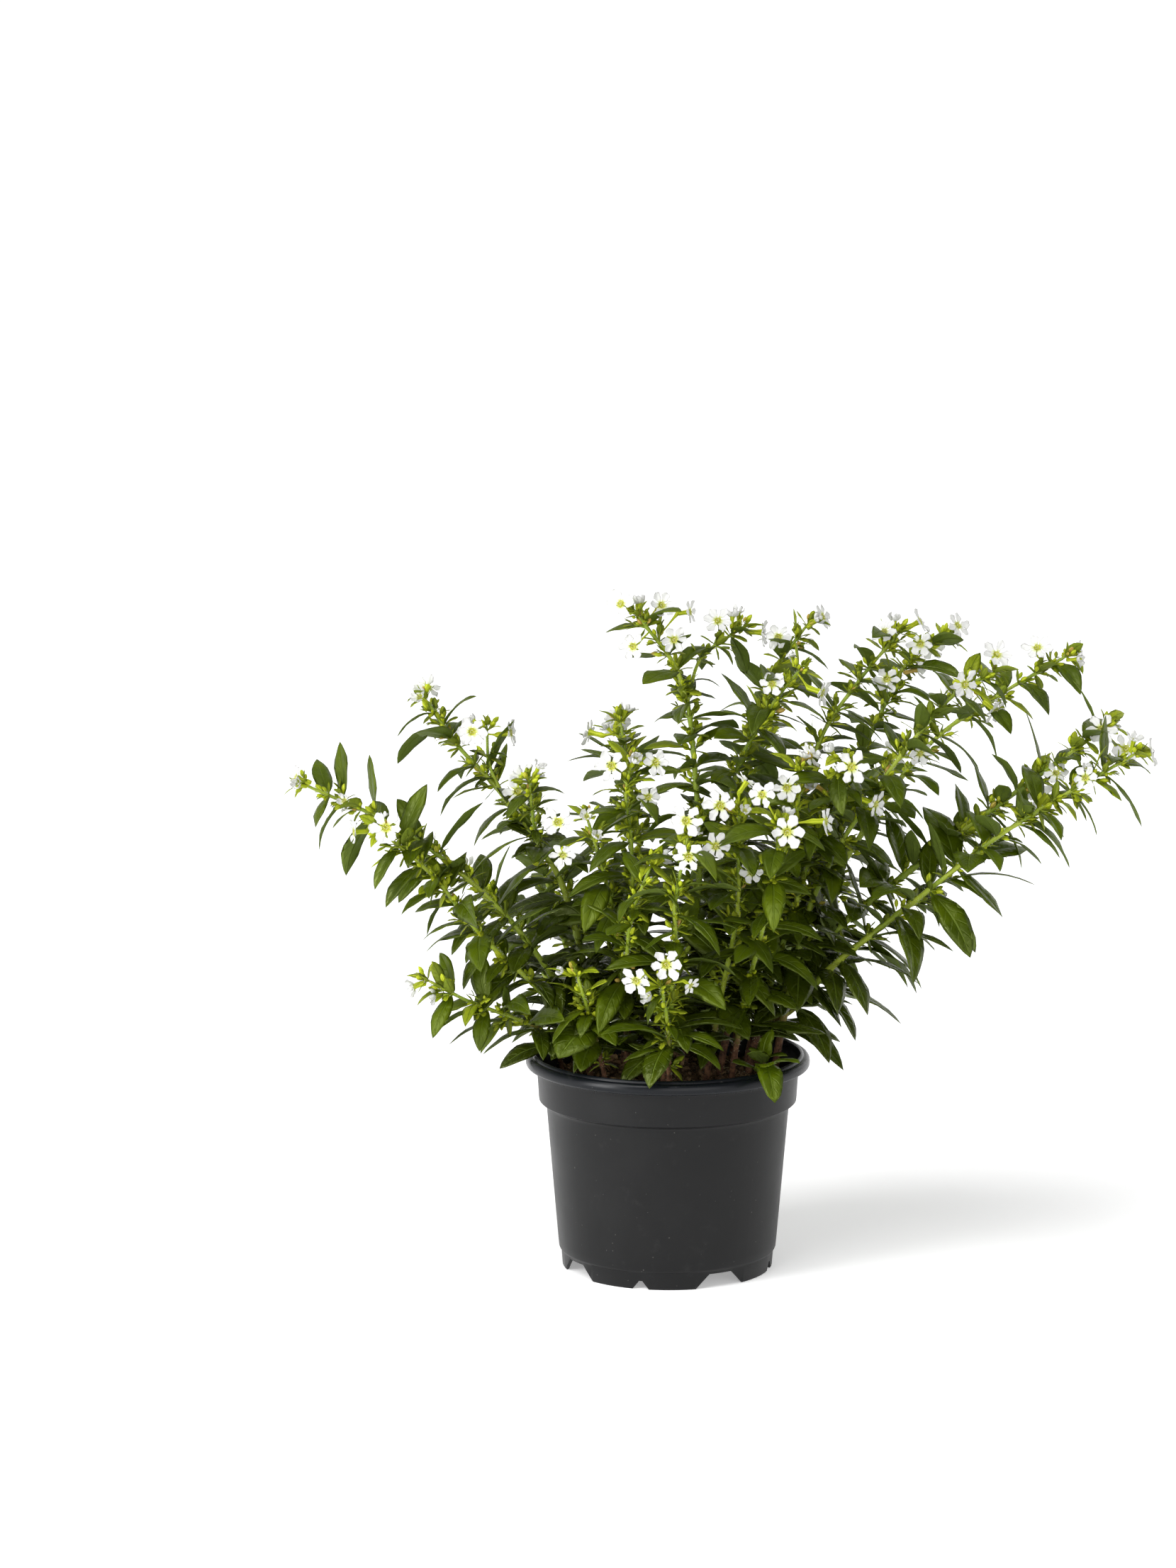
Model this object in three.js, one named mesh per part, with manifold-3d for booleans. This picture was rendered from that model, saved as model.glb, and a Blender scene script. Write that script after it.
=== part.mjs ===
// A potted false heather: a nursery pot, its peat, and one bushy plant with white blooms.
// Millimetres, +Z up. It is drawn about the pot's axis, with the viewer at -Y, and the whole
// is then moved so that the origin is the bottom centre of its box.
import * as THREE from 'three';
import { mergeVertices } from 'three/addons/utils/BufferGeometryUtils.js';
import Module from 'manifold-3d';

const wasm = await Module();
wasm.setup();

// Pot: radii and heights of the moulding
const RIM_RADIUS = 60;
const RIM_TOP = 92;
const LIP_INNER_RADIUS = 55.6;
const COLLAR_TOP = 85;
const COLLAR_TOP_RADIUS = 55.2;
const COLLAR_FOOT = 73.3;
const COLLAR_FOOT_RADIUS = 54.5;
const WALL_TOP = 70;
const WALL_TOP_RADIUS = 51.3;
const WALL_FOOT = 8;
const WALL_FOOT_RADIUS = 46;
const FOOT_RADIUS = 44.6;
const WALL = 1.4;
const FLOOR_TOP = 10;
const POT_SIDES = 22;

// Foot ring: four feet, a wide notch between them and a small one in the middle of each
const FOOT_COUNT = 4;
const FIRST_FOOT_TURN = -15.5;
const WIDE_NOTCH = { bottom: 23, top: 11, height: 6 };
const SMALL_NOTCH = { bottom: 7, top: 1, height: 3.5 };
const DRAIN_RADIUS = 3.5;
const DRAIN_RING_RADIUS = 30;

// Peat
const PEAT_TOP = 80;
const PEAT_RELIEF = 1.6;
const PEAT_GAP = 0.3;

// Stems: a ring of corners about every STEM_STEP along the route
const STEM_SIDES = 4;
const STEM_STEP = 34;

// Leaves: the angle they leave the stem at, low down and at its tip, their size about the
// length that the stem gives, how far their tips hang, and their width as a share of length.
// A small leaf is widest near its middle, and a large one has a second ring nearer its tip.
const LEAF_SPREAD = [66, 42];
const LEAF_TURN_DRAW = 24;
const LEAF_SIZE_DRAW = [0.88, 1.12];
const LEAF_SAG = [0.25, 0.6];
const LEAF_WIDTH = [0.34, 0.44];
const LEAF_CHORD = 0.94;
const LEAF_KEEL = 1.1;
const LARGE_LEAF_RINGS = [[0.34, 1], [0.7, 0.72]];
const SMALL_LEAF_RINGS = [[0.45, 1]];
const FREE_BLADE_START = [0.22, 0.5];
const SMALL_LEAF = 30;
const YOUNG_LEAF = 10;
const LEAFLESS_TIP = 7;

// Calyxes and blooms
const CALYX_LENGTH = 7;
const CALYX_RADIUS = 1.7;
const CALYX_HEEL_RADIUS = 1;
const CALYX_SUNK = 0.5;
const PETAL_REACH = 6.9;
const PETAL_HALF_ANGLE = 15;
const THROAT_RADIUS = 1.7;
const FAR_THROAT_RADIUS = 2.6;
const PETAL_THICKNESS = 0.7;
const PETAL_DISH = 0.02;
const PETAL_ANGLES = [33, 90, 148, 212, 270, 327];
const CLEARANCE = 0.3;

const UP = new THREE.Vector3(0, 0, 1);
const AWAY = new THREE.Vector3(0, 1, 0);

// Every leafy stem: its route from the foot to the tip, its girth at both ends, the bare
// length, the longest and shortest leaf, the gap between pairs low down and near the tip,
// the turn of the first pair, the leaves that stand out (distance along the stem, tip x, y, z,
// width), and its blooms (x, y, z, turn from the viewer towards +X, tilt upwards, size).
const stems = [
  {
    name: 'left_1', route: [[-37, 12, 70], [-35, 12, 84], [-31, 10, 99], [-44, 5, 161], [-69, 5, 200],
      [-88, 8, 221], [-102, 10, 241]], girth: [2.3, 0.9], bare: 34, leaf: [42, 14], gap: [33, 20], turn: 20,
    blooms: [[-82, -3, 229, 0, 10, 1], [-63, -5, 204, 5, 25, 1]],
    farBlooms: [[-66, 0, 228, 75, 10, 0.9], [-101, 16, 245, 160, 30, 0.9]],
  },
  {
    name: 'left_1', route: [[-52, 5, 176], [-56, -12, 190], [-58, -22, 211]], girth: [0.9, 0.7],
    bare: 10, leaf: [15, 10], gap: [11, 9], turn: 10,
  },
  {
    name: 'left_1', route: [[-69, 5, 200], [-75, 4, 214], [-76, 4, 229]], girth: [0.9, 0.7],
    bare: 9, leaf: [13, 10], gap: [10, 9], turn: 50,
  },
  {
    name: 'left_2', route: [[-36, 12, 88], [-46, -8, 121], [-71, -18, 157], [-109, -24, 190],
      [-151, -28, 211]], girth: [1.6, 0.8], bare: 26, leaf: [36, 14], gap: [30, 20], turn: 40,
    big: [[45, -70, -28, 116, 9]],
    blooms: [[-154, -31, 214, -75, 20, 0.9]],
    farBlooms: [[-130, -34, 192, -70, 0, 0.8]],
  },
  {
    name: 'left_3', route: [[-30, 2, 70], [-38, -6, 100], [-56, -17, 124], [-77, -26, 146],
      [-98, -35, 174], [-118, -45, 194]],
    girth: [1.7, 0.8], bare: 30, leaf: [35, 14], gap: [30, 20], turn: 75,
    blooms: [[-116, -52, 197, -10, 10, 1.05]],
  },
  {
    name: 'left_4', route: [[-44, 14, 70], [-46, 4, 90], [-53, -14, 104], [-65, -25, 112], [-83, -35, 121],
      [-100, -40, 131]], girth: [1.3, 0.8], bare: 30, leaf: [30, 14], gap: [19, 16], turn: 5,
    big: [[48, -78, -34, 99, 8.5], [50, -52, -38, 97, 9], [62, -92, -42, 105, 6], [78, -97, -46, 111, 5]],
  },
  {
    name: 'left_5', route: [[-31, 10, 103], [-22, -8, 140], [-27, -22, 172], [-34, -30, 197]],
    girth: [1.3, 0.8], bare: 22, leaf: [36, 14], gap: [24, 17], turn: 30,
    blooms: [[-46, -33, 196, -5, 10, 1.05]],
    farBlooms: [[-44, -37, 183, 0, -20, 0.8]],
  },
  {
    name: 'mid_1', route: [[-12, 16, 70], [-10, 15, 90], [5, 12, 125], [13, 10, 161], [11, 10, 213],
      [5, 8, 250], [-13, 5, 277]], girth: [2.2, 0.9], bare: 38, leaf: [41, 14], gap: [33, 20], turn: 15,
    blooms: [[-20, 2, 282, -30, 20, 0.95], [-3, 6, 281, 20, 25, 0.9], [2, -5, 268, 20, 0, 0.9]],
    farBlooms: [[-15, -4, 265, -15, 0, 0.9], [9, 15, 277, 70, 10, 0.8]],
  },
  {
    name: 'mid_1', route: [[8, 8, 240], [14, 19, 257], [31, 30, 268]], girth: [0.9, 0.7],
    bare: 10, leaf: [14, 11], gap: [10, 9], turn: 0,
    farBlooms: [[21, 24, 272, -20, 35, 0.9], [40, 32, 266, 80, 0, 0.9]],
  },
  {
    name: 'mid_2', route: [[-10, 15, 97], [-14, -5, 130], [-15, -20, 164], [-16, -28, 189], [-18, -32, 207],
      [-16, -35, 221]], girth: [1.3, 0.8], bare: 24, leaf: [36, 14], gap: [24, 17], turn: 60,
    blooms: [[-24, -42, 221, -5, 5, 1], [-6, -40, 222, 25, 15, 0.9]],
    farBlooms: [[-9, -42, 208, 15, -10, 0.8]],
  },
  {
    name: 'mid_3', route: [[-20, 26, 70], [-14, 28, 120], [-12, 32, 173], [-17, 36, 208], [-20, 40, 227]],
    girth: [1.8, 0.8], bare: 41, leaf: [35, 14], gap: [33, 20], turn: 35,
    farBlooms: [[-21, 49, 226, 170, 20, 0.9], [-33, 40, 222, -110, 10, 0.9]],
  },
  {
    name: 'mid_4', route: [[15, 28, 70], [18, 26, 110], [24, 20, 160], [28, 15, 206], [38, 10, 229],
      [48, 8, 245], [55, 5, 254]], girth: [2, 0.8], bare: 41, leaf: [36, 14], gap: [33, 20], turn: 80,
    blooms: [[64, 0, 245, 65, -15, 0.95]],
    farBlooms: [[43, -2, 249, -10, 15, 0.85]],
  },
  {
    name: 'mid_5', route: [[18, 38, 70], [22, 42, 130], [30, 50, 184], [44, 65, 239], [49, 70, 248],
      [61, 78, 263]], girth: [2, 0.8], bare: 41, leaf: [36, 14], gap: [33, 20], turn: 10,
    farBlooms: [[68, 82, 266, 70, 20, 0.95], [48, 62, 260, -20, 10, 0.85]],
  },
  {
    name: 'mid_6', route: [[20, 10, 70], [30, 4, 120], [46, -12, 171], [53, -22, 199], [53, -28, 217]],
    girth: [1.8, 0.8], bare: 36, leaf: [37, 14], gap: [33, 20], turn: 50,
    blooms: [[48, -37, 211, -10, 5, 0.95]],
    farBlooms: [[58, -22, 222, 130, 15, 0.85]],
  },
  {
    name: 'mid_7', route: [[32, 12, 70], [42, 4, 115], [56, -2, 164], [65, -22, 203], [71, -35, 222]],
    girth: [1.8, 0.8], bare: 36, leaf: [37, 14], gap: [33, 20], turn: 25,
    blooms: [[74, -45, 221, 5, 5, 1.05]],
    farBlooms: [[85, -30, 203, 50, -10, 0.85]],
  },
  {
    name: 'front_1', route: [[-4, -20, 70], [-1, -28, 95], [2, -50, 147], [2, -58, 168], [7, -63, 196]],
    girth: [1.7, 0.8], bare: 30, leaf: [37, 14], gap: [30, 20], turn: 65,
    blooms: [[6, -70, 203, -5, 20, 1.05], [7, -74, 189, -10, -10, 1]],
    farBlooms: [[18, -66, 192, 30, 0, 0.95]],
  },
  {
    name: 'front_2', route: [[-16, 2, 70], [-18, -20, 115], [-17, -40, 149], [-14, -50, 165],
      [-8, -56, 182]], girth: [1.6, 0.8], bare: 30, leaf: [37, 14], gap: [30, 20], turn: 0,
    big: [[28, -32, -52, 108, 8.5]],
  },
  {
    name: 'front_3', route: [[2, -34, 70], [0, -40, 90], [-1, -55, 115], [-4, -66, 134]],
    girth: [1.5, 0.9], bare: 41, leaf: [17, 12], gap: [9, 8], turn: 20,
    big: [[38, -17, -62, 101, 9], [40, -9, -72, 93, 9.5], [39, 21, -64, 99, 9], [44, 22, -68, 108, 7],
      [46, 30, -62, 116, 7], [43, -29, -64, 114, 8]],
    blooms: [[-2, -76, 145, 5, 5, 1.05], [-14, -75, 138, -25, -20, 1]],
    farBlooms: [[8, -70, 135, 45, -20, 0.6]],
  },
  {
    name: 'front_4', route: [[14, -6, 70], [22, -18, 120], [28, -32, 157], [28, -42, 184], [28, -48, 202]],
    girth: [1.7, 0.8], bare: 31, leaf: [38, 14], gap: [30, 20], turn: 85,
    blooms: [[20, -57, 207, -5, 5, 1.05]],
    farBlooms: [[33, -55, 179, 10, 30, 0.8], [31, -47, 215, 120, 50, 0.8]],
  },
  {
    name: 'front_5', route: [[25, -4, 70], [31, -20, 115], [39, -38, 155], [43, -50, 183], [44, -57, 199]],
    girth: [1.6, 0.8], bare: 31, leaf: [38, 14], gap: [30, 20], turn: 45,
    blooms: [[47, -67, 198, 5, 0, 1.05], [63, -59, 201, 65, 5, 0.9]],
    farBlooms: [[37, -60, 212, -15, 25, 0.9]],
  },
  {
    name: 'front_6', route: [[-24, -14, 70], [-28, -22, 92], [-34, -35, 118], [-38, -41, 133]],
    girth: [1.4, 0.9], bare: 30, leaf: [30, 14], gap: [11, 9], turn: 70,
    big: [[44, -46, -52, 101, 14], [36, -36, -46, 90, 9]],
  },
  {
    name: 'front_7', route: [[34, -30, 70], [37, -36, 88], [40, -41, 99]], girth: [1.2, 0.9],
    bare: 30, leaf: [11, 10], gap: [8, 8], turn: 0,
    big: [[22, 41, -64, 85, 8], [25, 54, -47, 98, 7], [28, 43, -37, 110, 7], [23, 26, -45, 98, 5],
      [27, 33, -52, 104, 6]],
  },
  {
    name: 'right_1', route: [[37, 25, 70], [39, 21, 85], [41, 18, 101], [64, 8, 136], [102, 0, 170],
      [141, -6, 201], [182, -12, 233]], girth: [2.5, 0.9], bare: 30, leaf: [41, 14], gap: [26, 18], turn: 30,
    big: [[33, 74, -14, 88, 12.5], [56, 74, 4, 109, 11]],
    blooms: [[179, -16, 232, -10, 20, 0.95], [189, -17, 224, 25, 0, 1]],
    farBlooms: [[154, -19, 204, 0, -15, 0.95], [161, -12, 213, 0, 40, 0.8]],
  },
  {
    name: 'right_2', route: [[41, 18, 101], [52, 8, 108], [70, -3, 130], [102, -15, 159], [140, -28, 192],
      [191, -40, 226]], girth: [1.9, 0.8], bare: 20, leaf: [46, 14], gap: [24, 17], turn: 0,
    big: [[32, 99, -6, 106, 12], [50, 109, -16, 127, 10], [66, 123, -24, 143, 9], [104, 152, -34, 171, 8]],
    blooms: [[197, -40, 226, 80, 10, 0.9]],
    farBlooms: [[170, -42, 216, 0, 0, 0.8]],
  },
  {
    name: 'right_3', route: [[40, 22, 88], [52, 26, 125], [72, 25, 164], [108, 30, 215], [138, 30, 238],
      [169, 32, 256]], girth: [1.9, 0.8], bare: 32, leaf: [40, 14], gap: [26, 18], turn: 50,
    blooms: [[156, 28, 260, -15, 40, 0.95], [174, 34, 257, 80, 10, 0.95]],
    farBlooms: [[138, 22, 234, 50, -30, 0.9]],
  },
  {
    name: 'right_4', route: [[44, 10, 70], [50, 6, 110], [63, 0, 163], [89, -12, 210], [117, -8, 244],
      [135, -5, 254]], girth: [2, 0.8], bare: 38, leaf: [40, 14], gap: [30, 19], turn: 70,
    blooms: [[122, -17, 251, 30, 0, 1]],
    farBlooms: [[136, -7, 262, 20, 40, 0.95], [104, -16, 222, 20, -20, 0.8]],
  },
  {
    name: 'right_5', route: [[32, 26, 70], [42, 26, 120], [51, 25, 173], [64, 25, 220], [81, 28, 246],
      [98, 32, 266]], girth: [2, 0.8], bare: 41, leaf: [37, 14], gap: [33, 20], turn: 10,
    blooms: [[92, 19, 248, 5, -10, 0.9]],
    farBlooms: [[91, 26, 267, -30, 40, 0.9], [107, 38, 270, 80, 30, 0.9]],
  },
  {
    name: 'right_6', route: [[26, 36, 70], [38, 41, 120], [64, 45, 170], [93, 60, 229], [104, 68, 248],
      [120, 75, 258]], girth: [2, 0.8], bare: 41, leaf: [37, 14], gap: [33, 20], turn: 55,
    blooms: [[109, 62, 257, -10, 0, 0.9]],
    farBlooms: [[126, 76, 263, 50, 30, 0.95], [116, 84, 252, 170, 0, 0.85]],
  },
  {
    name: 'back_1', route: [[-28, 34, 70], [-38, 44, 110], [-52, 62, 155], [-62, 80, 190]],
    girth: [1.8, 0.8], bare: 26, leaf: [40, 14], gap: [30, 20], turn: 40,
    farBlooms: [[-62, 90, 194, 175, 20, 1]],
  },
  {
    name: 'back_2', route: [[-8, 40, 70], [-10, 52, 120], [-16, 76, 175], [-20, 95, 212]],
    girth: [1.9, 0.8], bare: 28, leaf: [40, 14], gap: [30, 20], turn: 0,
    farBlooms: [[-22, 104, 215, -175, 20, 1]],
  },
  {
    name: 'back_3', route: [[7, 42, 70], [10, 48, 93], [16, 60, 120], [32, 82, 175], [45, 100, 212]],
    girth: [1.9, 0.8], bare: 26, leaf: [40, 14], gap: [30, 20], turn: 65,
    farBlooms: [[44, 109, 215, 170, 20, 1]],
  },
  {
    name: 'back_3', route: [[10, 49, 96], [28, 62, 112], [52, 74, 128], [75, 78, 144]],
    girth: [1.3, 0.8], bare: 22, leaf: [36, 14], gap: [23, 18], turn: 28,
    farBlooms: [[79, 86, 147, 140, 10, 0.9]],
  },
  {
    name: 'back_4', route: [[-33, 22, 70], [-38, 29, 90], [-60, 51, 128], [-80, 70, 152]],
    girth: [1.6, 0.8], bare: 30, leaf: [38, 14], gap: [25, 18], turn: 10,
    farBlooms: [[-86, 77, 156, -140, 10, 0.95]],
  },
  {
    name: 'back_5', route: [[35, 41, 102], [50, 58, 142], [72, 80, 174], [96, 95, 198]],
    girth: [1.4, 0.8], bare: 20, leaf: [37, 14], gap: [30, 20], turn: 45,
    farBlooms: [[101, 102, 202, 140, 20, 1]],
  },
];

// Small tools for solids
function solid(geometry) {
  const bare = geometry.clone();
  bare.deleteAttribute('normal');
  bare.deleteAttribute('uv');
  const merged = mergeVertices(bare, 1e-4);
  return new wasm.Manifold(new wasm.Mesh({
    numProp: 3,
    vertProperties: merged.attributes.position.array,
    triVerts: new Uint32Array(merged.index.array),
  }));
}

function geometryOf(piece) {
  const mesh = piece.getMesh();
  const geometry = new THREE.BufferGeometry();
  geometry.setAttribute('position', new THREE.BufferAttribute(mesh.vertProperties, 3));
  geometry.setIndex(new THREE.BufferAttribute(mesh.triVerts, 1));
  geometry.computeVertexNormals();
  return geometry;
}

// A skin over rings of corners, each ring closed; a ring of one corner is a point.
function loft(rings) {
  const corners = rings.flat();
  const faces = [];
  let start = 0;
  rings.slice(1).forEach((ring, i) => {
    const low = rings[i].length;
    const high = ring.length;
    const next = start + low;
    for (let k = 0; k < Math.max(low, high); k++) {
      const a = start + (k % low);
      const b = start + ((k + 1) % low);
      const c = next + (k % high);
      const d = next + ((k + 1) % high);
      if (low > 1) faces.push(a, b, d);
      if (high > 1) faces.push(a, d, c);
    }
    start = next;
  });
  for (let k = 1; k < rings[0].length - 1; k++) faces.push(0, k + 1, k);
  for (let k = 1; k < rings.at(-1).length - 1; k++) faces.push(start, start + k, start + k + 1);
  const geometry = new THREE.BufferGeometry().setFromPoints(corners);
  geometry.setIndex(faces);
  return solid(geometry);
}

// A repeatable stream of numbers from 0 to 1
function drawer(seed) {
  let state = seed;
  return () => {
    state = (state * 16807) % 2147483647;
    return state / 2147483647;
  };
}

const mix = THREE.MathUtils.lerp;
const radians = THREE.MathUtils.degToRad;
const vector = (p) => new THREE.Vector3(...p);

// The pot: a lathe-turned shell with the foot ring notched and the floor drilled
function potProfile() {
  const ledge = COLLAR_FOOT - 1.8;
  return [
    [0, WALL_FOOT], [FOOT_RADIUS - WALL, WALL_FOOT], [FOOT_RADIUS - WALL - 0.4, 0], [FOOT_RADIUS - 0.2, 0],
    [FOOT_RADIUS + 0.4, WALL_FOOT - 0.6], [WALL_FOOT_RADIUS, WALL_FOOT], [WALL_TOP_RADIUS, WALL_TOP],
    [COLLAR_FOOT_RADIUS - 0.8, ledge], [COLLAR_FOOT_RADIUS, COLLAR_FOOT], [COLLAR_TOP_RADIUS, COLLAR_TOP],
    [RIM_RADIUS - 0.8, COLLAR_TOP + 0.8], [RIM_RADIUS, RIM_TOP - 3.5], [RIM_RADIUS - 1.4, RIM_TOP - 0.4],
    [LIP_INNER_RADIUS + 1, RIM_TOP], [LIP_INNER_RADIUS, RIM_TOP - 1.2],
    [COLLAR_FOOT_RADIUS - WALL, COLLAR_FOOT + 0.6], [WALL_TOP_RADIUS - WALL, ledge - 0.6],
    [WALL_FOOT_RADIUS - WALL, FLOOR_TOP], [0, FLOOR_TOP],
  ].map(([x, y]) => new THREE.Vector2(x, y));
}

function notchCutter(notch, turn) {
  const outline = new THREE.Shape([
    new THREE.Vector2(-notch.bottom / 2, -1), new THREE.Vector2(notch.bottom / 2, -1),
    new THREE.Vector2(notch.top / 2, notch.height), new THREE.Vector2(-notch.top / 2, notch.height),
  ]);
  const block = new THREE.ExtrudeGeometry(outline, { depth: 12, bevelEnabled: false });
  block.translate(0, 0, FOOT_RADIUS - 8);
  block.rotateX(Math.PI / 2);
  block.rotateZ(radians(turn));
  return solid(block);
}

function makePot() {
  const shell = solid(new THREE.LatheGeometry(potProfile(), POT_SIDES).rotateX(Math.PI / 2));
  const cutters = [];
  for (let i = 0; i < FOOT_COUNT; i++) {
    const turn = FIRST_FOOT_TURN + (i * 360) / FOOT_COUNT;
    cutters.push(notchCutter(SMALL_NOTCH, turn), notchCutter(WIDE_NOTCH, turn + 180 / FOOT_COUNT));
    const drain = new THREE.CylinderGeometry(DRAIN_RADIUS, DRAIN_RADIUS, 8, 8).rotateX(Math.PI / 2);
    drain.translate(0, -DRAIN_RING_RADIUS, WALL_FOOT + 1).rotateZ(radians(turn));
    cutters.push(solid(drain));
  }
  return shell.subtract(wasm.Manifold.union(cutters));
}

// The peat: it fills the pot, with a rough top
function makePeat() {
  const inside = WALL + PEAT_GAP;
  const edge = mix(COLLAR_FOOT_RADIUS, COLLAR_TOP_RADIUS, 0.5) - inside;
  const profile = [
    [0, FLOOR_TOP + PEAT_GAP], [WALL_FOOT_RADIUS - inside, FLOOR_TOP + PEAT_GAP],
    [WALL_TOP_RADIUS - inside, WALL_TOP + 0.8], [edge - 0.6, COLLAR_FOOT + 1.6], [edge - 0.3, PEAT_TOP],
    [32, PEAT_TOP], [0, PEAT_TOP],
  ].map(([x, y]) => new THREE.Vector2(x, y));
  const body = new THREE.LatheGeometry(profile, POT_SIDES).rotateX(Math.PI / 2);
  const place = body.attributes.position;
  for (let i = 0; i < place.count; i++) {
    const x = place.getX(i);
    const y = place.getY(i);
    if (place.getZ(i) < PEAT_TOP - 0.5) continue;
    const bump = Math.sin(0.23 * x + 0.9) * Math.cos(0.19 * y - 0.4) + Math.sin(0.41 * y + 0.31 * x);
    place.setZ(i, PEAT_TOP + (PEAT_RELIEF * bump) / 2);
  }
  return solid(body);
}

// A stem: a tapered tube along its route, its corners between the leaves
function frameAt(route, share) {
  const along = route.getTangentAt(share);
  const across = along.clone().cross(AWAY).normalize();
  return { place: route.getPointAt(share), along, across, over: along.clone().cross(across) };
}

function tubeSteps(stem) {
  return Math.max(3, Math.round(stem.length / STEM_STEP));
}

// The middle of the faceted tube, where leaves and calyxes are rooted
function heartOf(stem, share) {
  const steps = tubeSteps(stem);
  const step = Math.min(Math.floor(share * steps), steps - 1);
  const from = stem.path.getPointAt(step / steps);
  return from.lerp(stem.path.getPointAt((step + 1) / steps), share * steps - step);
}

function tube(stem, swell = 0) {
  const steps = tubeSteps(stem);
  const rings = [];
  for (let i = 0; i <= steps; i++) {
    const { place, along, across, over } = frameAt(stem.path, i / steps);
    const radius = mix(stem.girth[0], stem.girth[1], i / steps) + swell;
    if (i === 0) place.addScaledVector(along, -swell);
    rings.push(Array.from({ length: STEM_SIDES }, (_, k) => {
      const angle = radians(stem.turn + (360 * (k + 0.5)) / STEM_SIDES);
      return place.clone().addScaledVector(across, radius * Math.cos(angle))
        .addScaledVector(over, radius * Math.sin(angle));
    }));
  }
  return loft(rings);
}

// A leaf: a blade from the stem's middle along a bent line, flat on top and keeled below.
// A free blade lacks its root, so that it can be tested against its own stem.
function bladeAt(leaf, share) {
  const rest = 1 - share;
  const place = leaf.root.clone().multiplyScalar(rest * rest)
    .addScaledVector(leaf.knee, 2 * rest * share).addScaledVector(leaf.tip, share * share);
  const along = leaf.knee.clone().sub(leaf.root).multiplyScalar(rest)
    .addScaledVector(leaf.tip.clone().sub(leaf.knee), share).normalize();
  const side = along.clone().cross(leaf.face).normalize();
  return { place, along, side, normal: side.clone().cross(along) };
}

function bladeSolid(leaf, swell = 0, free = false) {
  const small = leaf.root.distanceTo(leaf.tip) < SMALL_LEAF;
  const stations = small ? [...SMALL_LEAF_RINGS] : [...LARGE_LEAF_RINGS];
  if (free) stations.unshift(FREE_BLADE_START);
  const start = bladeAt(leaf, 0);
  const end = bladeAt(leaf, 1);
  const rings = stations.map(([share, part]) => {
    const { place, side, normal } = bladeAt(leaf, share);
    const reach = (leaf.width / 2) * part + swell;
    place.addScaledVector(normal, swell);
    return [
      place.clone().addScaledVector(side, -reach), place.clone().addScaledVector(side, reach),
      place.clone().addScaledVector(normal, -LEAF_KEEL * part - 2 * swell),
    ];
  });
  const root = leaf.heart.clone().addScaledVector(start.along, -leaf.sunk);
  const tip = [end.place.addScaledVector(end.along, swell)];
  return free ? loft([...rings, tip]) : loft([[root], ...rings, tip]);
}

function pairLeaf(stem, draw, distance, longest, turn) {
  const share = distance / stem.length;
  const { place, along, across, over } = frameAt(stem.path, share);
  const angle = radians(turn);
  const outward = across.clone().multiplyScalar(Math.cos(angle)).addScaledVector(over, Math.sin(angle));
  const spread = radians(mix(...LEAF_SPREAD, share));
  const heading = along.clone().multiplyScalar(Math.cos(spread)).addScaledVector(outward, Math.sin(spread));
  const size = longest * mix(...LEAF_SIZE_DRAW, draw());
  const sag = mix(...LEAF_SAG, draw());
  const chord = heading.clone().addScaledVector(UP, -sag).normalize();
  const lean = along.clone().multiplyScalar(0.5).add(UP);
  return {
    root: place, heart: heartOf(stem, share), sunk: 0.5 * mix(stem.girth[0], stem.girth[1], share),
    knee: place.clone().addScaledVector(heading, 0.5 * size),
    tip: place.clone().addScaledVector(chord, LEAF_CHORD * size),
    width: size * mix(...LEAF_WIDTH, draw()),
    face: lean.clone().addScaledVector(heading, -lean.dot(heading)),
  };
}

function namedLeaf(stem, [distance, x, y, z, width]) {
  const share = distance / stem.length;
  const place = stem.path.getPointAt(share);
  const tip = new THREE.Vector3(x, y, z);
  const chord = tip.clone().sub(place);
  const reach = chord.length();
  const face = UP.clone().addScaledVector(chord, -UP.dot(chord) / reach ** 2).normalize();
  const knee = place.clone().addScaledVector(chord, 0.5).addScaledVector(face, 0.2 * reach);
  return {
    root: place, heart: heartOf(stem, share), sunk: 0.5 * mix(stem.girth[0], stem.girth[1], share),
    knee, tip, width, face,
  };
}

function leavesOf(stem, number) {
  const draw = drawer(1000 + 37 * number);
  const leaves = (stem.big ?? []).map((row) => namedLeaf(stem, row));
  let distance = stem.bare;
  for (let pair = 0; distance < stem.length - LEAFLESS_TIP; pair++) {
    const share = distance / stem.length;
    const longest = mix(stem.leaf[0], stem.leaf[1], share);
    const turn = stem.turn + 90 * pair + LEAF_TURN_DRAW * (draw() - 0.5);
    leaves.push(pairLeaf(stem, draw, distance, longest, turn));
    leaves.push(pairLeaf(stem, draw, distance, longest, turn + 180));
    distance += mix(stem.gap[0], stem.gap[1], share) * (0.9 + 0.2 * draw());
  }
  const grownUp = leaves.filter((leaf) => leaf.root.distanceTo(leaf.tip) > YOUNG_LEAF);
  const tipTurn = stem.turn + 90 * Math.round(draw());
  grownUp.push(pairLeaf(stem, draw, stem.length - 1, stem.leaf[1], tipTurn));
  grownUp.push(pairLeaf(stem, draw, stem.length - 1, stem.leaf[1], tipTurn + 180));
  grownUp.forEach((leaf) => {
    leaf.node = stem.name;
  });
  return grownUp;
}

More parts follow.
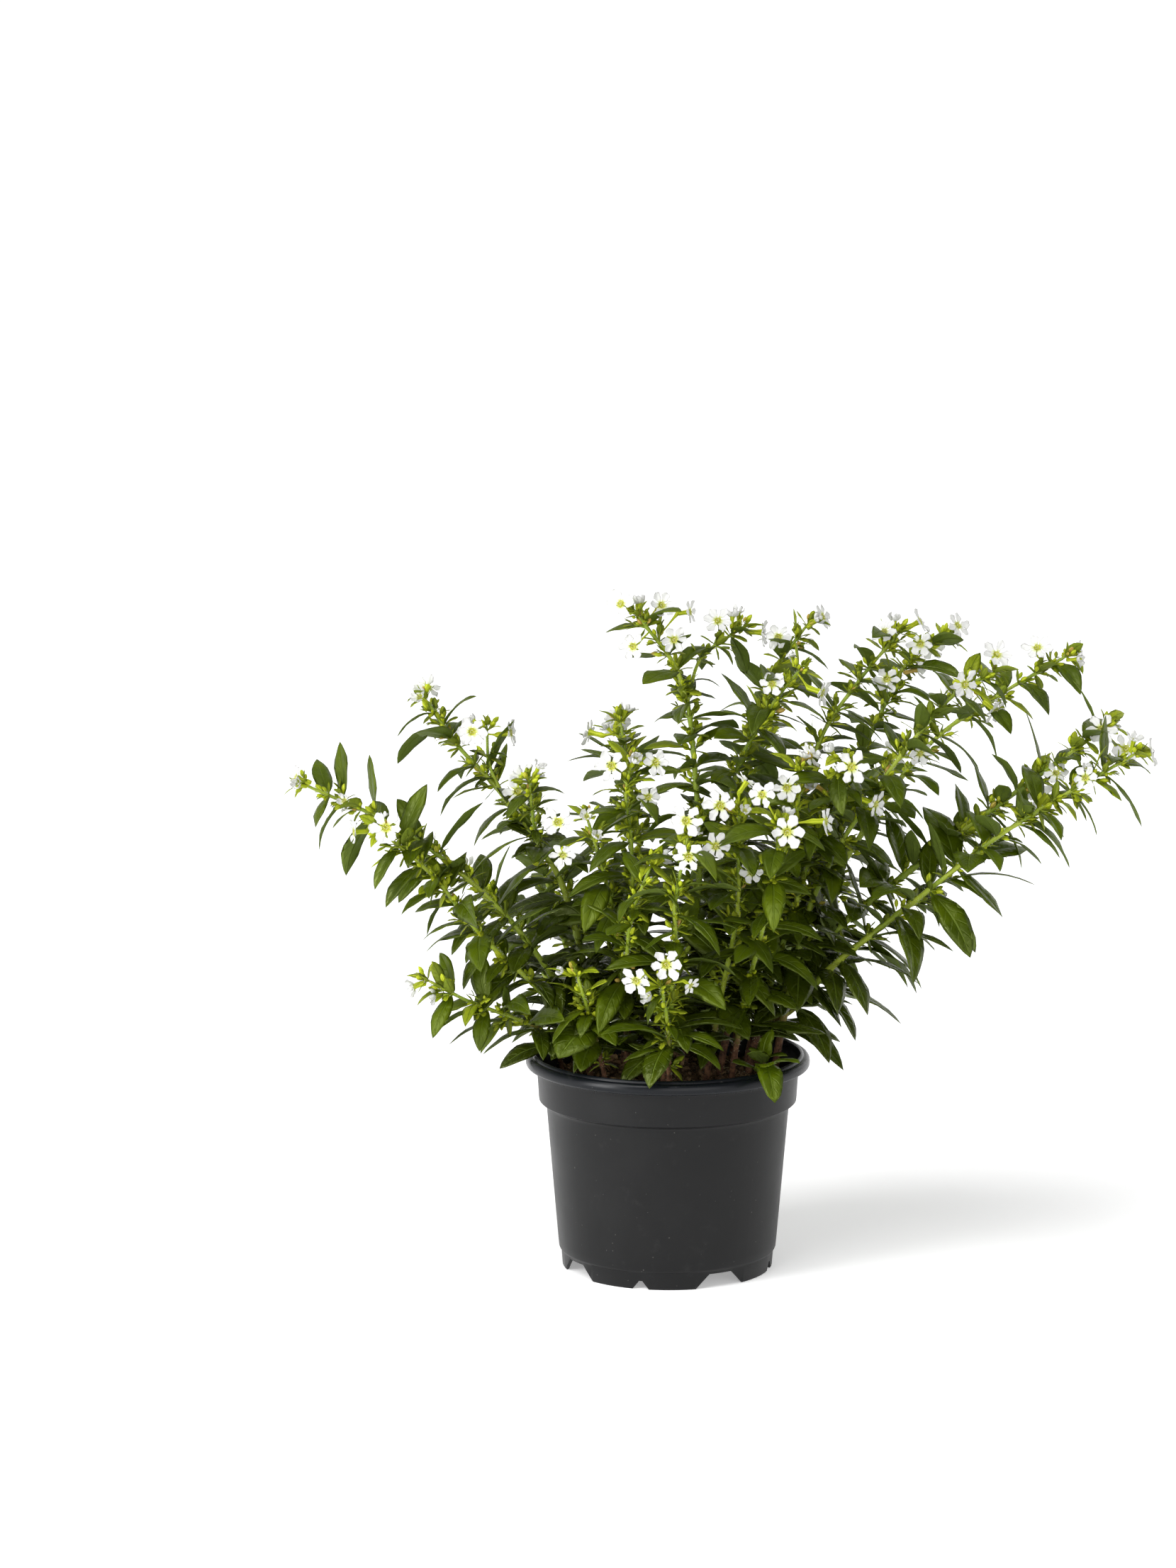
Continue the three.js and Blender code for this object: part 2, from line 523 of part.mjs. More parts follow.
// A leaf that meets a neighbour is bent clear: turned about the vertical, tilted, then shortened.
const BENDS = [
  [0, 0, 1], [14, 0, 1], [-14, 0, 1], [0, 12, 1], [0, -12, 1], [26, 0, 1], [-26, 0, 1], [0, 24, 1],
  [16, 14, 0.9], [-16, 14, 0.9], [16, -14, 0.9], [-16, -14, 0.9], [38, 0, 0.9], [-38, 0, 0.9],
  [0, 34, 0.85], [0, -26, 0.85], [24, 20, 0.75], [-24, 20, 0.75], [50, 10, 0.75], [-50, 10, 0.75],
  [0, 0, 0.65], [20, 0, 0.6], [-20, 0, 0.6], [0, 40, 0.6],
];

function bent(leaf, [turn, tilt, size]) {
  const chord = leaf.tip.clone().sub(leaf.root);
  const side = chord.clone().cross(leaf.face).normalize();
  const about = new THREE.Quaternion().setFromAxisAngle(UP, radians(turn))
    .multiply(new THREE.Quaternion().setFromAxisAngle(side, radians(tilt)));
  const moved = (p) => p.clone().sub(leaf.root).applyQuaternion(about).multiplyScalar(size).add(leaf.root);
  return {
    ...leaf, knee: moved(leaf.knee), tip: moved(leaf.tip), width: leaf.width * size,
    face: leaf.face.clone().applyQuaternion(about),
  };
}

// A bloom: where it looks, its corolla and the calyx that carries it
function facing(turn, tilt) {
  const flat = Math.cos(radians(tilt));
  return new THREE.Vector3(Math.sin(radians(turn)) * flat, -Math.cos(radians(turn)) * flat,
    Math.sin(radians(tilt)));
}

function corollaOutline() {
  const corners = [];
  PETAL_ANGLES.forEach((angle, i) => {
    const before = i ? PETAL_ANGLES[i - 1] : PETAL_ANGLES.at(-1) - 360;
    const notch = radians((angle + before) / 2);
    const left = radians(angle - PETAL_HALF_ANGLE);
    const right = radians(angle + PETAL_HALF_ANGLE);
    corners.push([THROAT_RADIUS, notch], [PETAL_REACH, left], [PETAL_REACH, right]);
  });
  return corners.map(([reach, angle]) =>
    new THREE.Vector2(-reach * Math.sin(angle), reach * Math.cos(angle)));
}

// The corolla looks along +Z, with its upper petals towards +Y, and is slightly dished.
function makeCorolla() {
  const disc = new THREE.ExtrudeGeometry(new THREE.Shape(corollaOutline()),
    { depth: PETAL_THICKNESS, bevelEnabled: false });
  const place = disc.attributes.position;
  for (let i = 0; i < place.count; i++) {
    const reach = Math.hypot(place.getX(i), place.getY(i));
    place.setZ(i, place.getZ(i) + CLEARANCE + PETAL_DISH * reach ** 2);
  }
  return disc;
}

const corolla = makeCorolla();

// A far corolla has pointed petals, and is thickest at its throat.
function farCorolla() {
  const corners = PETAL_ANGLES.flatMap((angle, i) => {
    const before = i ? PETAL_ANGLES[i - 1] : PETAL_ANGLES.at(-1) - 360;
    return [[FAR_THROAT_RADIUS, radians((angle + before) / 2)], [PETAL_REACH, radians(angle)]];
  });
  const rim = corners.map(([reach, angle]) =>
    new THREE.Vector3(-reach * Math.sin(angle), reach * Math.cos(angle),
      PETAL_DISH * reach ** 2));
  return loft([[new THREE.Vector3(0, 0, -1.2)], rim, [new THREE.Vector3(0, 0, 0.6)]]);
}

function bloomPlace([x, y, z, turn, tilt, size]) {
  const look = facing(turn, tilt);
  const right = look.clone().cross(UP).normalize().negate();
  const basis = new THREE.Matrix4().makeBasis(right, look.clone().cross(right), look);
  return {
    centre: new THREE.Vector3(x, y, z), look, size,
    rotation: new THREE.Quaternion().setFromRotationMatrix(basis),
  };
}

function nearestOn(stem, target) {
  const hearts = Array.from({ length: 101 }, (_, i) => heartOf(stem, i / 100));
  return hearts.reduce((best, p) => (p.distanceTo(target) < best.distanceTo(target) ? p : best));
}

function calyxSolid(stem, bloom) {
  const heel = bloom.centre.clone().addScaledVector(bloom.look, -CALYX_LENGTH);
  const axil = nearestOn(stem, heel);
  const toHeel = heel.clone().sub(axil).normalize();
  const ring = (middle, heading, radius) => {
    const across = heading.clone().cross(UP).normalize();
    const over = heading.clone().cross(across);
    return [0, 1, 2].map((k) => middle.clone()
      .addScaledVector(across, radius * Math.cos((2 * k * Math.PI) / 3))
      .addScaledVector(over, radius * Math.sin((2 * k * Math.PI) / 3)));
  };
  const bend = toHeel.clone().add(bloom.look).normalize();
  return loft([
    [axil.addScaledVector(toHeel, -CALYX_SUNK)], ring(heel, bend, CALYX_HEEL_RADIUS),
    ring(bloom.centre, bloom.look, CALYX_RADIUS),
  ]);
}

function bloomSolid(bloom, shape) {
  const size = new THREE.Vector3().setScalar(bloom.size);
  const matrix = new THREE.Matrix4().compose(bloom.centre, bloom.rotation, size);
  return shape.transform(matrix.elements);
}

// All solids are kept in one list, so that each new leaf can be tested against the rest.
const placed = [];
const grown = new Map();

function overlaps(a, b) {
  return a.min.every((low, i) => low < b.max[i] && b.min[i] < a.max[i]);
}

function place(node, piece) {
  placed.push({ node, piece, box: piece.boundingBox() });
}

function grow(node, piece) {
  if (!grown.has(node)) grown.set(node, []);
  grown.get(node).push(piece);
  place(node, piece);
}

function isClear(piece, rivals) {
  const box = piece.boundingBox();
  return rivals.every((other) => !overlaps(box, other.box) || other.piece.intersect(piece).isEmpty());
}

const plant = new THREE.Group();
const materials = {
  pot: new THREE.MeshStandardMaterial({ color: 0x2e3033, roughness: 0.5, metalness: 0 }),
  peat: new THREE.MeshStandardMaterial({ color: 0x2a1f17, roughness: 1, metalness: 0 }),
  leaf: new THREE.MeshStandardMaterial({ color: 0x35581a, roughness: 0.45, metalness: 0 }),
  petal: new THREE.MeshStandardMaterial({ color: 0xf4f4ee, roughness: 0.6, metalness: 0 }),
};

function addMesh(name, geometry, look) {
  const mesh = new THREE.Mesh(geometry, materials[look].clone());
  mesh.name = name;
  plant.add(mesh);
  return mesh;
}

const pot = makePot();
place('pot', pot);
let peat = makePeat();
place('peat', peat);

stems.forEach((stem) => {
  stem.path = new THREE.CatmullRomCurve3(stem.route.map(vector), false, 'catmullrom', 0.5);
  stem.length = stem.path.getLength();
  stem.swollen = tube(stem, CLEARANCE);
  grow(stem.name, tube(stem));
  if (stem.route[0][2] < PEAT_TOP - PEAT_GAP) peat = peat.subtract(stem.swollen);
});

// The blooms of each stem, and those past the limit of nodes, which are one with their stem
stems.forEach((stem) => {
  const own = stem.blooms ?? [];
  [...own, ...(stem.farBlooms ?? [])].forEach((row, i) => {
    const bloom = bloomPlace(row);
    grow(stem.name, calyxSolid(stem, bloom));
    if (i >= own.length) {
      grow(stem.name, bloomSolid(bloom, farCorolla()));
      return;
    }
    const name = `bloom_${stem.name}_${'abc'[i]}`;
    place(name, bloomSolid(bloom, solid(corolla)));
    const mesh = addMesh(name, corolla.clone(), 'petal');
    mesh.position.copy(bloom.centre);
    mesh.quaternion.copy(bloom.rotation);
    mesh.scale.setScalar(bloom.size);
  });
});

// The widest leaves are placed first. One that no bend brings clear is left out.
stems.flatMap(leavesOf).sort((a, b) => b.width - a.width).forEach((leaf) => {
  const others = placed.filter((other) => other.node !== leaf.node);
  const own = placed.filter((other) => other.node === leaf.node);
  const free = BENDS.filter((row) => isClear(bladeSolid(bent(leaf, row), CLEARANCE), others));
  const bend = free.find((row) => isClear(bladeSolid(bent(leaf, row), 0, true), own)) ?? free[0];
  if (bend) grow(leaf.node, bladeSolid(bent(leaf, bend)));
});

addMesh('pot', geometryOf(pot), 'pot');
addMesh('peat', geometryOf(peat), 'peat');
// Each leafy stem is joined into one body, trimmed where another stem passes, and a loose
// scrap of the trimming is dropped.
for (const [node, pieces] of grown) {
  let body = wasm.Manifold.union(pieces);
  stems.filter((stem) => stem.name !== node).forEach((stem) => {
    if (overlaps(stem.swollen.boundingBox(), body.boundingBox())) body = body.subtract(stem.swollen);
  });
  const [largest] = body.decompose().sort((a, b) => b.volume() - a.volume());
  addMesh(`stem_${node}`, geometryOf(largest), 'leaf');
}

const size = new THREE.Box3().setFromObject(plant, true);
const middle = size.getCenter(new THREE.Vector3());
plant.position.set(-middle.x, -middle.y, -size.min.z);
plant.updateMatrixWorld(true);

export default plant;
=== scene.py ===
import math

import bmesh
import bpy
import numpy as np
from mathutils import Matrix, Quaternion, Vector, kdtree, noise


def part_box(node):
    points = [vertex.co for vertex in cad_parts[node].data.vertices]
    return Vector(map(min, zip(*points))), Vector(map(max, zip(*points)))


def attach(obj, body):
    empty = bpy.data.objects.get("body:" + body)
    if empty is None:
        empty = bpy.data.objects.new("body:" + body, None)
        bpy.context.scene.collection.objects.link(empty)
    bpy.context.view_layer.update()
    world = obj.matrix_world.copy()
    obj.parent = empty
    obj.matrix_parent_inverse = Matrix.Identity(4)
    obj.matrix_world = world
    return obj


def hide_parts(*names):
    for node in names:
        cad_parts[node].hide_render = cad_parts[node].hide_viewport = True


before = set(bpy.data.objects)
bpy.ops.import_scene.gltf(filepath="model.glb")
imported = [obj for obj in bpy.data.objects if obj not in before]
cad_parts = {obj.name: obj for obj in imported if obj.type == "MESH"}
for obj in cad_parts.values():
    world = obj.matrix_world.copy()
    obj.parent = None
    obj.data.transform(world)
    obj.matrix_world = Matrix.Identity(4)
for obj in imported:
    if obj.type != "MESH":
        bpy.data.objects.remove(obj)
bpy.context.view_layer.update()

# The frame. The part stands on its feet at z = 0. Everything below is drawn in millimetres
# about the pot's axis, with the viewer at -Y, and then put in the part's place.
pot_low, pot_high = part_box("pot")
AXIS = np.array([(pot_low.x + pot_high.x) / 2, (pot_low.y + pot_high.y) / 2, 0.0])
MM = 0.001


# The nursery pot. One moulding of anthracite polypropylene: rolled lip, collar, tapered wall,
# and a foot ring notched into four feet, with drain holes in the raised floor.
LIP = [(55.5, 85.3), (56.1, 86.0), (57.4, 86.3), (58.9, 86.4), (59.6, 86.8), (59.95, 87.5), (60.0, 88.6),
       (59.85, 89.6), (59.4, 90.4), (58.7, 90.9), (58.1, 91.0), (57.75, 90.9), (57.5, 90.95), (57.3, 91.4),
       (57.0, 91.8), (56.6, 92.0), (56.2, 92.0), (55.9, 91.7), (55.75, 91.1), (55.6, 89.5), (55.3, 87.6),
       (54.8, 86.2)]
LIP_MARKS = 40
COLLAR_TOP = 85.0
COLLAR_TOP_RADIUS = 55.2
COLLAR_FOOT = 73.3
COLLAR_FOOT_RADIUS = 54.5
LEDGE = 71.5
WALL_TOP = 70.0
WALL_TOP_RADIUS = 51.3
WALL_FOOT = 8.0
WALL_FOOT_RADIUS = 46.0
FOOT_RADIUS = 44.7
WALL = 1.3
FLOOR_TOP = 10.0
FEET = 4
FIRST_FOOT_TURN = -15.5
WIDE_NOTCH = (23.0, 11.0, 6.0)
SMALL_NOTCH = (7.0, 1.4, 3.5)
NOTCHES = [(FIRST_FOOT_TURN + 360 / FEET * (i + part), notch)
           for i in range(FEET) for part, notch in ((0, SMALL_NOTCH), (0.5, WIDE_NOTCH))]
COLUMN_STEP = 2.5
DRAIN_RADIUS = 3.5
DRAIN_RING_RADIUS = 30.0
SHARP_ANGLE = 38


def around(reach, turn):
    """x and y at a distance from the pot's axis, and at an angle in radians from its front."""
    return reach * np.sin(turn), -reach * np.cos(turn)


def lattice(rows, columns, round_about=False):
    """Quads over a grid of points, row by row; round_about joins the last column to the first."""
    row, column = np.mgrid[0:rows - 1, 0:columns - (not round_about)]
    after = (column + 1) % columns
    start = row * columns
    quads = np.stack([start + column, start + after, start + columns + after, start + columns + column], -1)
    return quads.reshape(-1, 4)


class Skin:
    """A surface under construction, in millimetres about the pot's axis. Each point carries a
    mark of three numbers for its material, and each face the number of that material."""

    def __init__(self):
        self.points, self.marks, self.faces, self.looks, self.count = [], [], [], [], 0

    def add(self, points, faces, mark=(0, 0, 0), look=0):
        """Adds points and faces, and returns the number of the first point."""
        first = self.count
        points = np.asarray(points, float).reshape(-1, 3)
        mark = np.asarray(mark, float)
        self.points.append(points)
        self.marks.append(mark.reshape(-1, 3) if mark.size > 3 else np.tile(mark, (len(points), 1)))
        self.count += len(points)
        self.cover(np.asarray(faces) + first, look)
        return first

    def cover(self, faces, look=0):
        self.faces.append(faces)
        self.looks.append(np.full(len(faces), look))

    def make(self, name, *materials):
        mesh = bpy.data.meshes.new(name)
        points = np.concatenate(self.points) * MM + AXIS
        sides = np.concatenate([np.full(len(faces), faces.shape[1]) for faces in self.faces])
        corners = np.concatenate([faces.ravel() for faces in self.faces])
        mesh.vertices.add(len(points))
        mesh.vertices.foreach_set("co", points.ravel())
        mesh.loops.add(len(corners))
        mesh.loops.foreach_set("vertex_index", corners.astype(np.int32))
        mesh.polygons.add(len(sides))
        mesh.polygons.foreach_set("loop_start", (np.cumsum(sides) - sides).astype(np.int32))
        mesh.polygons.foreach_set("material_index", np.concatenate(self.looks).astype(np.int32))
        mesh.update(calc_edges=True)
        mark = mesh.attributes.new("mark", "FLOAT_VECTOR", "POINT")
        mark.data.foreach_set("vector", np.concatenate(self.marks).ravel())
        mesh.shade_smooth()
        for material in materials:
            mesh.materials.append(material)
        piece = bpy.data.objects.new(name, mesh)
        bpy.context.scene.collection.objects.link(piece)
        return piece


class Wire:
    """A socket in a material's nodes, so that shader maths reads as plain expressions."""

    def __init__(self, look, socket):
        self.look, self.socket = look, socket

    def math(self, operation, *values):
        return self.look.node("ShaderNodeMath", {"operation": operation}, dict(enumerate(values)))

    def __add__(self, other):
        return self.math("ADD", self, other)

    def __sub__(self, other):
        return self.math("SUBTRACT", self, other)

    def __rsub__(self, other):
        return self.math("SUBTRACT", other, self)

    def __mul__(self, other):
        return self.math("MULTIPLY", self, other)

    def __abs__(self):
        return self.math("ABSOLUTE", self)

    __radd__ = __add__
    __rmul__ = __mul__

    def sine(self):
        return self.math("SINE", self)

    def ramp(self, low, high, start=0.0, end=1.0):
        """start below low, end above high, and smooth between them."""
        return self.look.node("ShaderNodeMapRange", {"interpolation_type": "SMOOTHSTEP"},
                              {"Value": self, "From Min": low, "From Max": high,
                               "To Min": start, "To Max": end})

    def mix(self, low, high):
        """The colour low where this is 0, and the colour high where it is 1."""
        return self.look.node("ShaderNodeMix", {"data_type": "RGBA"}, {0: self, 6: low, 7: high}, 2)


class Look:
    """A material, or a sky, made of nodes."""

    def __init__(self, name, store=bpy.data.materials):
        self.owner = store.new(name)
        self.owner.use_nodes = True
        self.tree = self.owner.node_tree
        self.tree.nodes.clear()

    def node(self, kind, settings=None, sockets=None, output=0):
        made = self.tree.nodes.new(kind)
        for key, value in (settings or {}).items():
            setattr(made, key, value)
        for key, value in (sockets or {}).items():
            if isinstance(value, Wire):
                self.tree.links.new(value.socket, made.inputs[key])
            elif made.inputs[key].type == "RGBA":
                made.inputs[key].default_value = (*value, 1.0)
            else:
                made.inputs[key].default_value = value
        return Wire(self, made.outputs[output]) if made.outputs else made

    def noise(self, scale, detail, roughness=0.55):
        where = self.node("ShaderNodeTexCoord", output="Object")
        sockets = {"Vector": where, "Scale": scale, "Detail": detail, "Roughness": roughness}
        return self.node("ShaderNodeTexNoise", None, sockets)

    def mark(self):
        """The three numbers that each point of the skin carries."""
        mark = self.node("ShaderNodeAttribute", {"attribute_name": "mark"}, None, "Vector")
        apart = self.node("ShaderNodeSeparateXYZ", None, {0: mark}).socket.node
        return [Wire(self, output) for output in apart.outputs]

    def bump(self, height, distance, strength):
        sockets = {"Height": height, "Distance": distance, "Strength": strength}
        return self.node("ShaderNodeBump", None, sockets)

    def surface(self, color, roughness, normal, specular, glow=None, share=0.0,
                gloss_tint=(1, 1, 1)):
        """Closes the material. A share of the light comes through it in the colour glow."""
        shader = self.node("ShaderNodeBsdfPrincipled", None, {
            "Base Color": color, "Roughness": roughness, "Normal": normal, "Specular IOR Level": specular,
            "Specular Tint": gloss_tint})
        if glow:
            through = self.node("ShaderNodeBsdfTranslucent", None, {"Color": glow})
            shader = self.node("ShaderNodeMixShader", None, {0: share, 1: shader, 2: through})
        self.node("ShaderNodeOutputMaterial", None, {0: shader})
        return self.owner


def pot_profile():
    """Radius and height of the moulding, from under the floor's middle round to its top."""
    foot = [(0, WALL_FOOT), (FOOT_RADIUS - 8, WALL_FOOT), (FOOT_RADIUS - WALL - 0.6, WALL_FOOT),
            (FOOT_RADIUS - WALL - 0.2, WALL_FOOT - 0.7), (FOOT_RADIUS - WALL - 0.4, 0.5),
            (FOOT_RADIUS - WALL, 0.05), (FOOT_RADIUS - 0.6, 0), (FOOT_RADIUS - 0.2, 0.5),
            (FOOT_RADIUS + 0.3, WALL_FOOT - 1.3), (FOOT_RADIUS + 0.5, WALL_FOOT - 0.5),
            (WALL_FOOT_RADIUS - 0.35, WALL_FOOT - 0.15), (WALL_FOOT_RADIUS, WALL_FOOT + 0.6)]
    climb = np.linspace(0.06, 0.985, 14)
    wall = [(WALL_FOOT_RADIUS + (WALL_TOP_RADIUS - WALL_FOOT_RADIUS) * part,
             WALL_FOOT + (WALL_TOP - WALL_FOOT) * part) for part in climb]
    collar = [(WALL_TOP_RADIUS + 0.15, WALL_TOP), (WALL_TOP_RADIUS + 0.7, LEDGE - 0.7),
              (COLLAR_FOOT_RADIUS - 0.7, LEDGE), (COLLAR_FOOT_RADIUS - 0.15, LEDGE + 0.5),
              (COLLAR_FOOT_RADIUS, COLLAR_FOOT), (COLLAR_FOOT_RADIUS + 0.3, COLLAR_FOOT + 5),
              (COLLAR_TOP_RADIUS, COLLAR_TOP - 1.2), (COLLAR_TOP_RADIUS + 0.1, COLLAR_TOP - 0.2)]
    inside = [(COLLAR_TOP_RADIUS - WALL, COLLAR_TOP - 1), (COLLAR_FOOT_RADIUS - WALL, COLLAR_FOOT + 0.6),
              (WALL_TOP_RADIUS - WALL, LEDGE - 0.6), (WALL_FOOT_RADIUS - WALL, FLOOR_TOP + 0.6),
              (WALL_FOOT_RADIUS - WALL - 1, FLOOR_TOP), (0, FLOOR_TOP)]
    return np.array(foot + wall + collar + LIP + inside)


def turns_apart(turn, other):
    return np.abs((turn - other + 180) % 360 - 180)


def foot_edge(turns):
    """Height of the foot ring's lower edge at each angle: 0 under a foot, higher in a notch."""
    height = np.zeros(len(turns))
    for middle, (wide, narrow, high) in NOTCHES:
        off = turns_apart(turns, middle) * math.radians(FOOT_RADIUS)
        height = np.maximum(height, np.clip((wide / 2 - off) / ((wide - narrow) / 2), 0, 1) * high)
    return height


def pot_turns():
    """Angles of the mesh's columns: even ones, and one at each corner of each notch."""
    corners = [middle + sign * math.degrees(width / 2 / FOOT_RADIUS)
               for middle, (wide, narrow, _) in NOTCHES for width in (wide, narrow) for sign in (-1, 1)]
    corners = np.array(corners) % 360
    even = [turn for turn in np.arange(0, 360, COLUMN_STEP) if turns_apart(corners, turn).min() > 0.7]
    return np.sort(np.concatenate([even, corners]))


def make_pot():
    profile, turns = pot_profile(), pot_turns()
    radius, height = (np.tile(profile[:, i:i + 1], len(turns)) for i in (0, 1))
    skirt = WALL_FOOT - 0.6
    lifted = skirt - (skirt - height) * (skirt - foot_edge(turns)) / skirt
    height = np.where(height < skirt, lifted, height)
    skin = Skin()
    mark = np.stack(np.broadcast_arrays(turns / 360, height, profile[:, :1] > LIP[0][0]), -1)
    skin.add(np.stack([*around(radius, np.radians(turns)), height], -1),
             lattice(len(profile), len(turns), round_about=True), mark)
    pot = skin.make("nursery_pot", plastic)
    mesh = bmesh.new()
    mesh.from_mesh(pot.data)
    bmesh.ops.remove_doubles(mesh, verts=mesh.verts, dist=1e-6)
    bmesh.ops.recalc_face_normals(mesh, faces=mesh.faces)
    mesh.to_mesh(pot.data)
    mesh.free()
    return pot


def drill_drains(pot):
    drill = bmesh.new()
    for i in range(FEET):
        turn = math.radians(FIRST_FOOT_TURN + 360 * i / FEET)
        hole = bmesh.ops.create_cone(drill, cap_ends=True, segments=32, radius1=DRAIN_RADIUS * MM,
                                     radius2=DRAIN_RADIUS * MM, depth=6 * MM)
        middle = Vector((*around(DRAIN_RING_RADIUS, turn), FLOOR_TOP - 1))
        bmesh.ops.translate(drill, verts=hole["verts"], vec=middle * MM + Vector(AXIS))
    shape = bpy.data.meshes.new("drains")
    drill.to_mesh(shape)
    drill.free()
    drains = bpy.data.objects.new("drains", shape)
    bpy.context.scene.collection.objects.link(drains)
    cut = pot.modifiers.new("drains", "BOOLEAN")
    cut.object, cut.operation, cut.solver = drains, "DIFFERENCE", "EXACT"
    drilled = bpy.data.meshes.new_from_object(pot.evaluated_get(bpy.context.evaluated_depsgraph_get()))
    pot.modifiers.clear()
    pot.data = drilled
    bpy.data.objects.remove(drains)
    pot.data.set_sharp_from_angle(angle=math.radians(SHARP_ANGLE))


def moulded_plastic():
    """Satin anthracite, a little cloudy, with specks of dust, faint rubbed marks, a glossier
    lip tinted blue as a painted cool reflection, and the short upright lines that the mould
    leaves below it."""
    look = Look("moulded_plastic")
    turn, height, lip = look.mark()
    line = (turn * (2 * math.pi * LIP_MARKS)).sine().ramp(0.96, 1.0)
    line = line * height.ramp(84.0, 85.0) * height.ramp(86.3, 86.9, 1, 0)
    cloud = look.noise(38, 4)
    rubbed = look.noise(140, 6, 0.65).ramp(0.58, 0.76)
    speck = look.noise(700, 1).ramp(0.77, 0.80)
    body = cloud.ramp(0.3, 0.7).mix((0.0040, 0.0041, 0.0044), (0.0060, 0.0061, 0.0064))
    # The lip's bluish tint is painted: a cool reflection put into its colour.
    body = lip.mix(body, (0.0036, 0.0046, 0.0064))
    body = (rubbed * 0.2).mix(body, (0.03, 0.03, 0.029))
    body = (speck * 0.2).mix(body, (0.24, 0.23, 0.21))
    body = (line * 0.7).mix(body, (0.004, 0.004, 0.005))
    roughness = cloud.ramp(0.3, 0.7, 0.38, 0.46) + rubbed * 0.1 - lip * 0.14
    return look.surface(body, roughness, look.bump(look.noise(2600, 2) - line * 6, 0.00003, 0.5), 0.22)


plastic = moulded_plastic()
pot = make_pot()
drill_drains(pot)
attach(pot, "root")
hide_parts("pot")


# The peat. Dark, crumbly and fibrous, filled to a finger below the lip, with dry fallen
# leaves and pale fibres on top. The stems stand in it.
PEAT_TOP = 80.0
PEAT_EDGE = 53.0
PEAT_RINGS = 70
PEAT_SIDES = 180
CRUMBS = 900
FIBRES = 150
DRY_LEAVES = 18


def drawer(seed):
    """A repeatable stream of numbers from 0 to 1."""
    state = seed

    def draw():
        nonlocal state
        state = state * 16807 % 2147483647
        return state / 2147483647
    return draw


def unit(vectors):
    vectors = np.asarray(vectors, float)
    return vectors / np.linalg.norm(vectors, axis=-1, keepdims=True)


def mix(start, end, share):
    return start + (end - start) * share


def rings_about(path, aside, over, radius, sides):
    """A ring of points round each point of a path, in the plane of two directions."""
    angle = (np.arange(sides) * 2 * np.pi / sides)[:, None]
    ring = aside[:, None] * np.cos(angle) + over[:, None] * np.sin(angle)
    return path[:, None] + ring * np.reshape(radius, (-1, 1, 1))


def add_rings(skin, rings, mark=(0, 0, 0), look=0):
    """Joins rings of points into one closed surface, with a cap at either end."""
    count, sides = rings.shape[:2]
    first = skin.add(rings, lattice(count, sides, round_about=True)[:, ::-1], mark, look)
    skin.cover(first + np.arange(sides)[None], look)
    skin.cover(first + (count - 1) * sides + np.arange(sides)[None, ::-1], look)


def add_tube(skin, path, radius, sides, mark=(0, 0, 0), look=0):
    path = np.asarray(path, float)
    along = unit(np.gradient(path, axis=0))
    aside = unit(np.cross(along, (0.13, 0.98, 0.15)))
    add_rings(skin, rings_about(path, aside, np.cross(along, aside), radius, sides), mark, look)


def add_sheet(skin, top, normal, thickness, mark, under=None, look=0):
    """A thin closed blade: a grid of points, and the same grid lower down inside its rim."""
    rows, columns = top.shape[:2]
    thickness = np.broadcast_to(np.asarray(thickness, float), (rows, columns))
    low = top - np.asarray(normal) * thickness[..., None]
    below = np.arange(rows * columns).reshape(rows, columns)
    inner = np.arange((rows - 2) * (columns - 2)).reshape(rows - 2, columns - 2)
    below[1:-1, 1:-1] = rows * columns + inner
    mark = np.broadcast_to(np.asarray(mark, float), top.shape)
    under = mark if under is None else under
    quads = lattice(rows, columns)
    skin.add(np.concatenate([top.reshape(-1, 3), low[1:-1, 1:-1].reshape(-1, 3)]),
             np.concatenate([quads, below.ravel()[quads][:, ::-1]]),
             np.concatenate([mark.reshape(-1, 3), under[1:-1, 1:-1].reshape(-1, 3)]), look)


def unit_ball(divisions):
    ball = bmesh.new()
    bmesh.ops.create_icosphere(ball, subdivisions=divisions, radius=1)
    points = np.array([corner.co for corner in ball.verts])
    faces = np.array([[corner.index for corner in face.verts] for face in ball.faces])
    ball.free()
    return points, faces


def peat_height(x, y):
    spot = Vector((x, y, 0))
    lumps = noise.fractal(spot * 0.11, 0.9, 2.1, 3) * 1.9
    crumbs = abs(noise.fractal(spot * 0.45 + Vector((7, 3, 0)), 0.7, 2.2, 4)) * 1.7
    return PEAT_TOP - 0.6 + lumps + crumbs


def spot_on_peat(draw, inner=0.0, outer=0.97):
    reach = PEAT_EDGE * mix(inner, outer, math.sqrt(draw()))
    return around(reach, 2 * math.pi * draw())


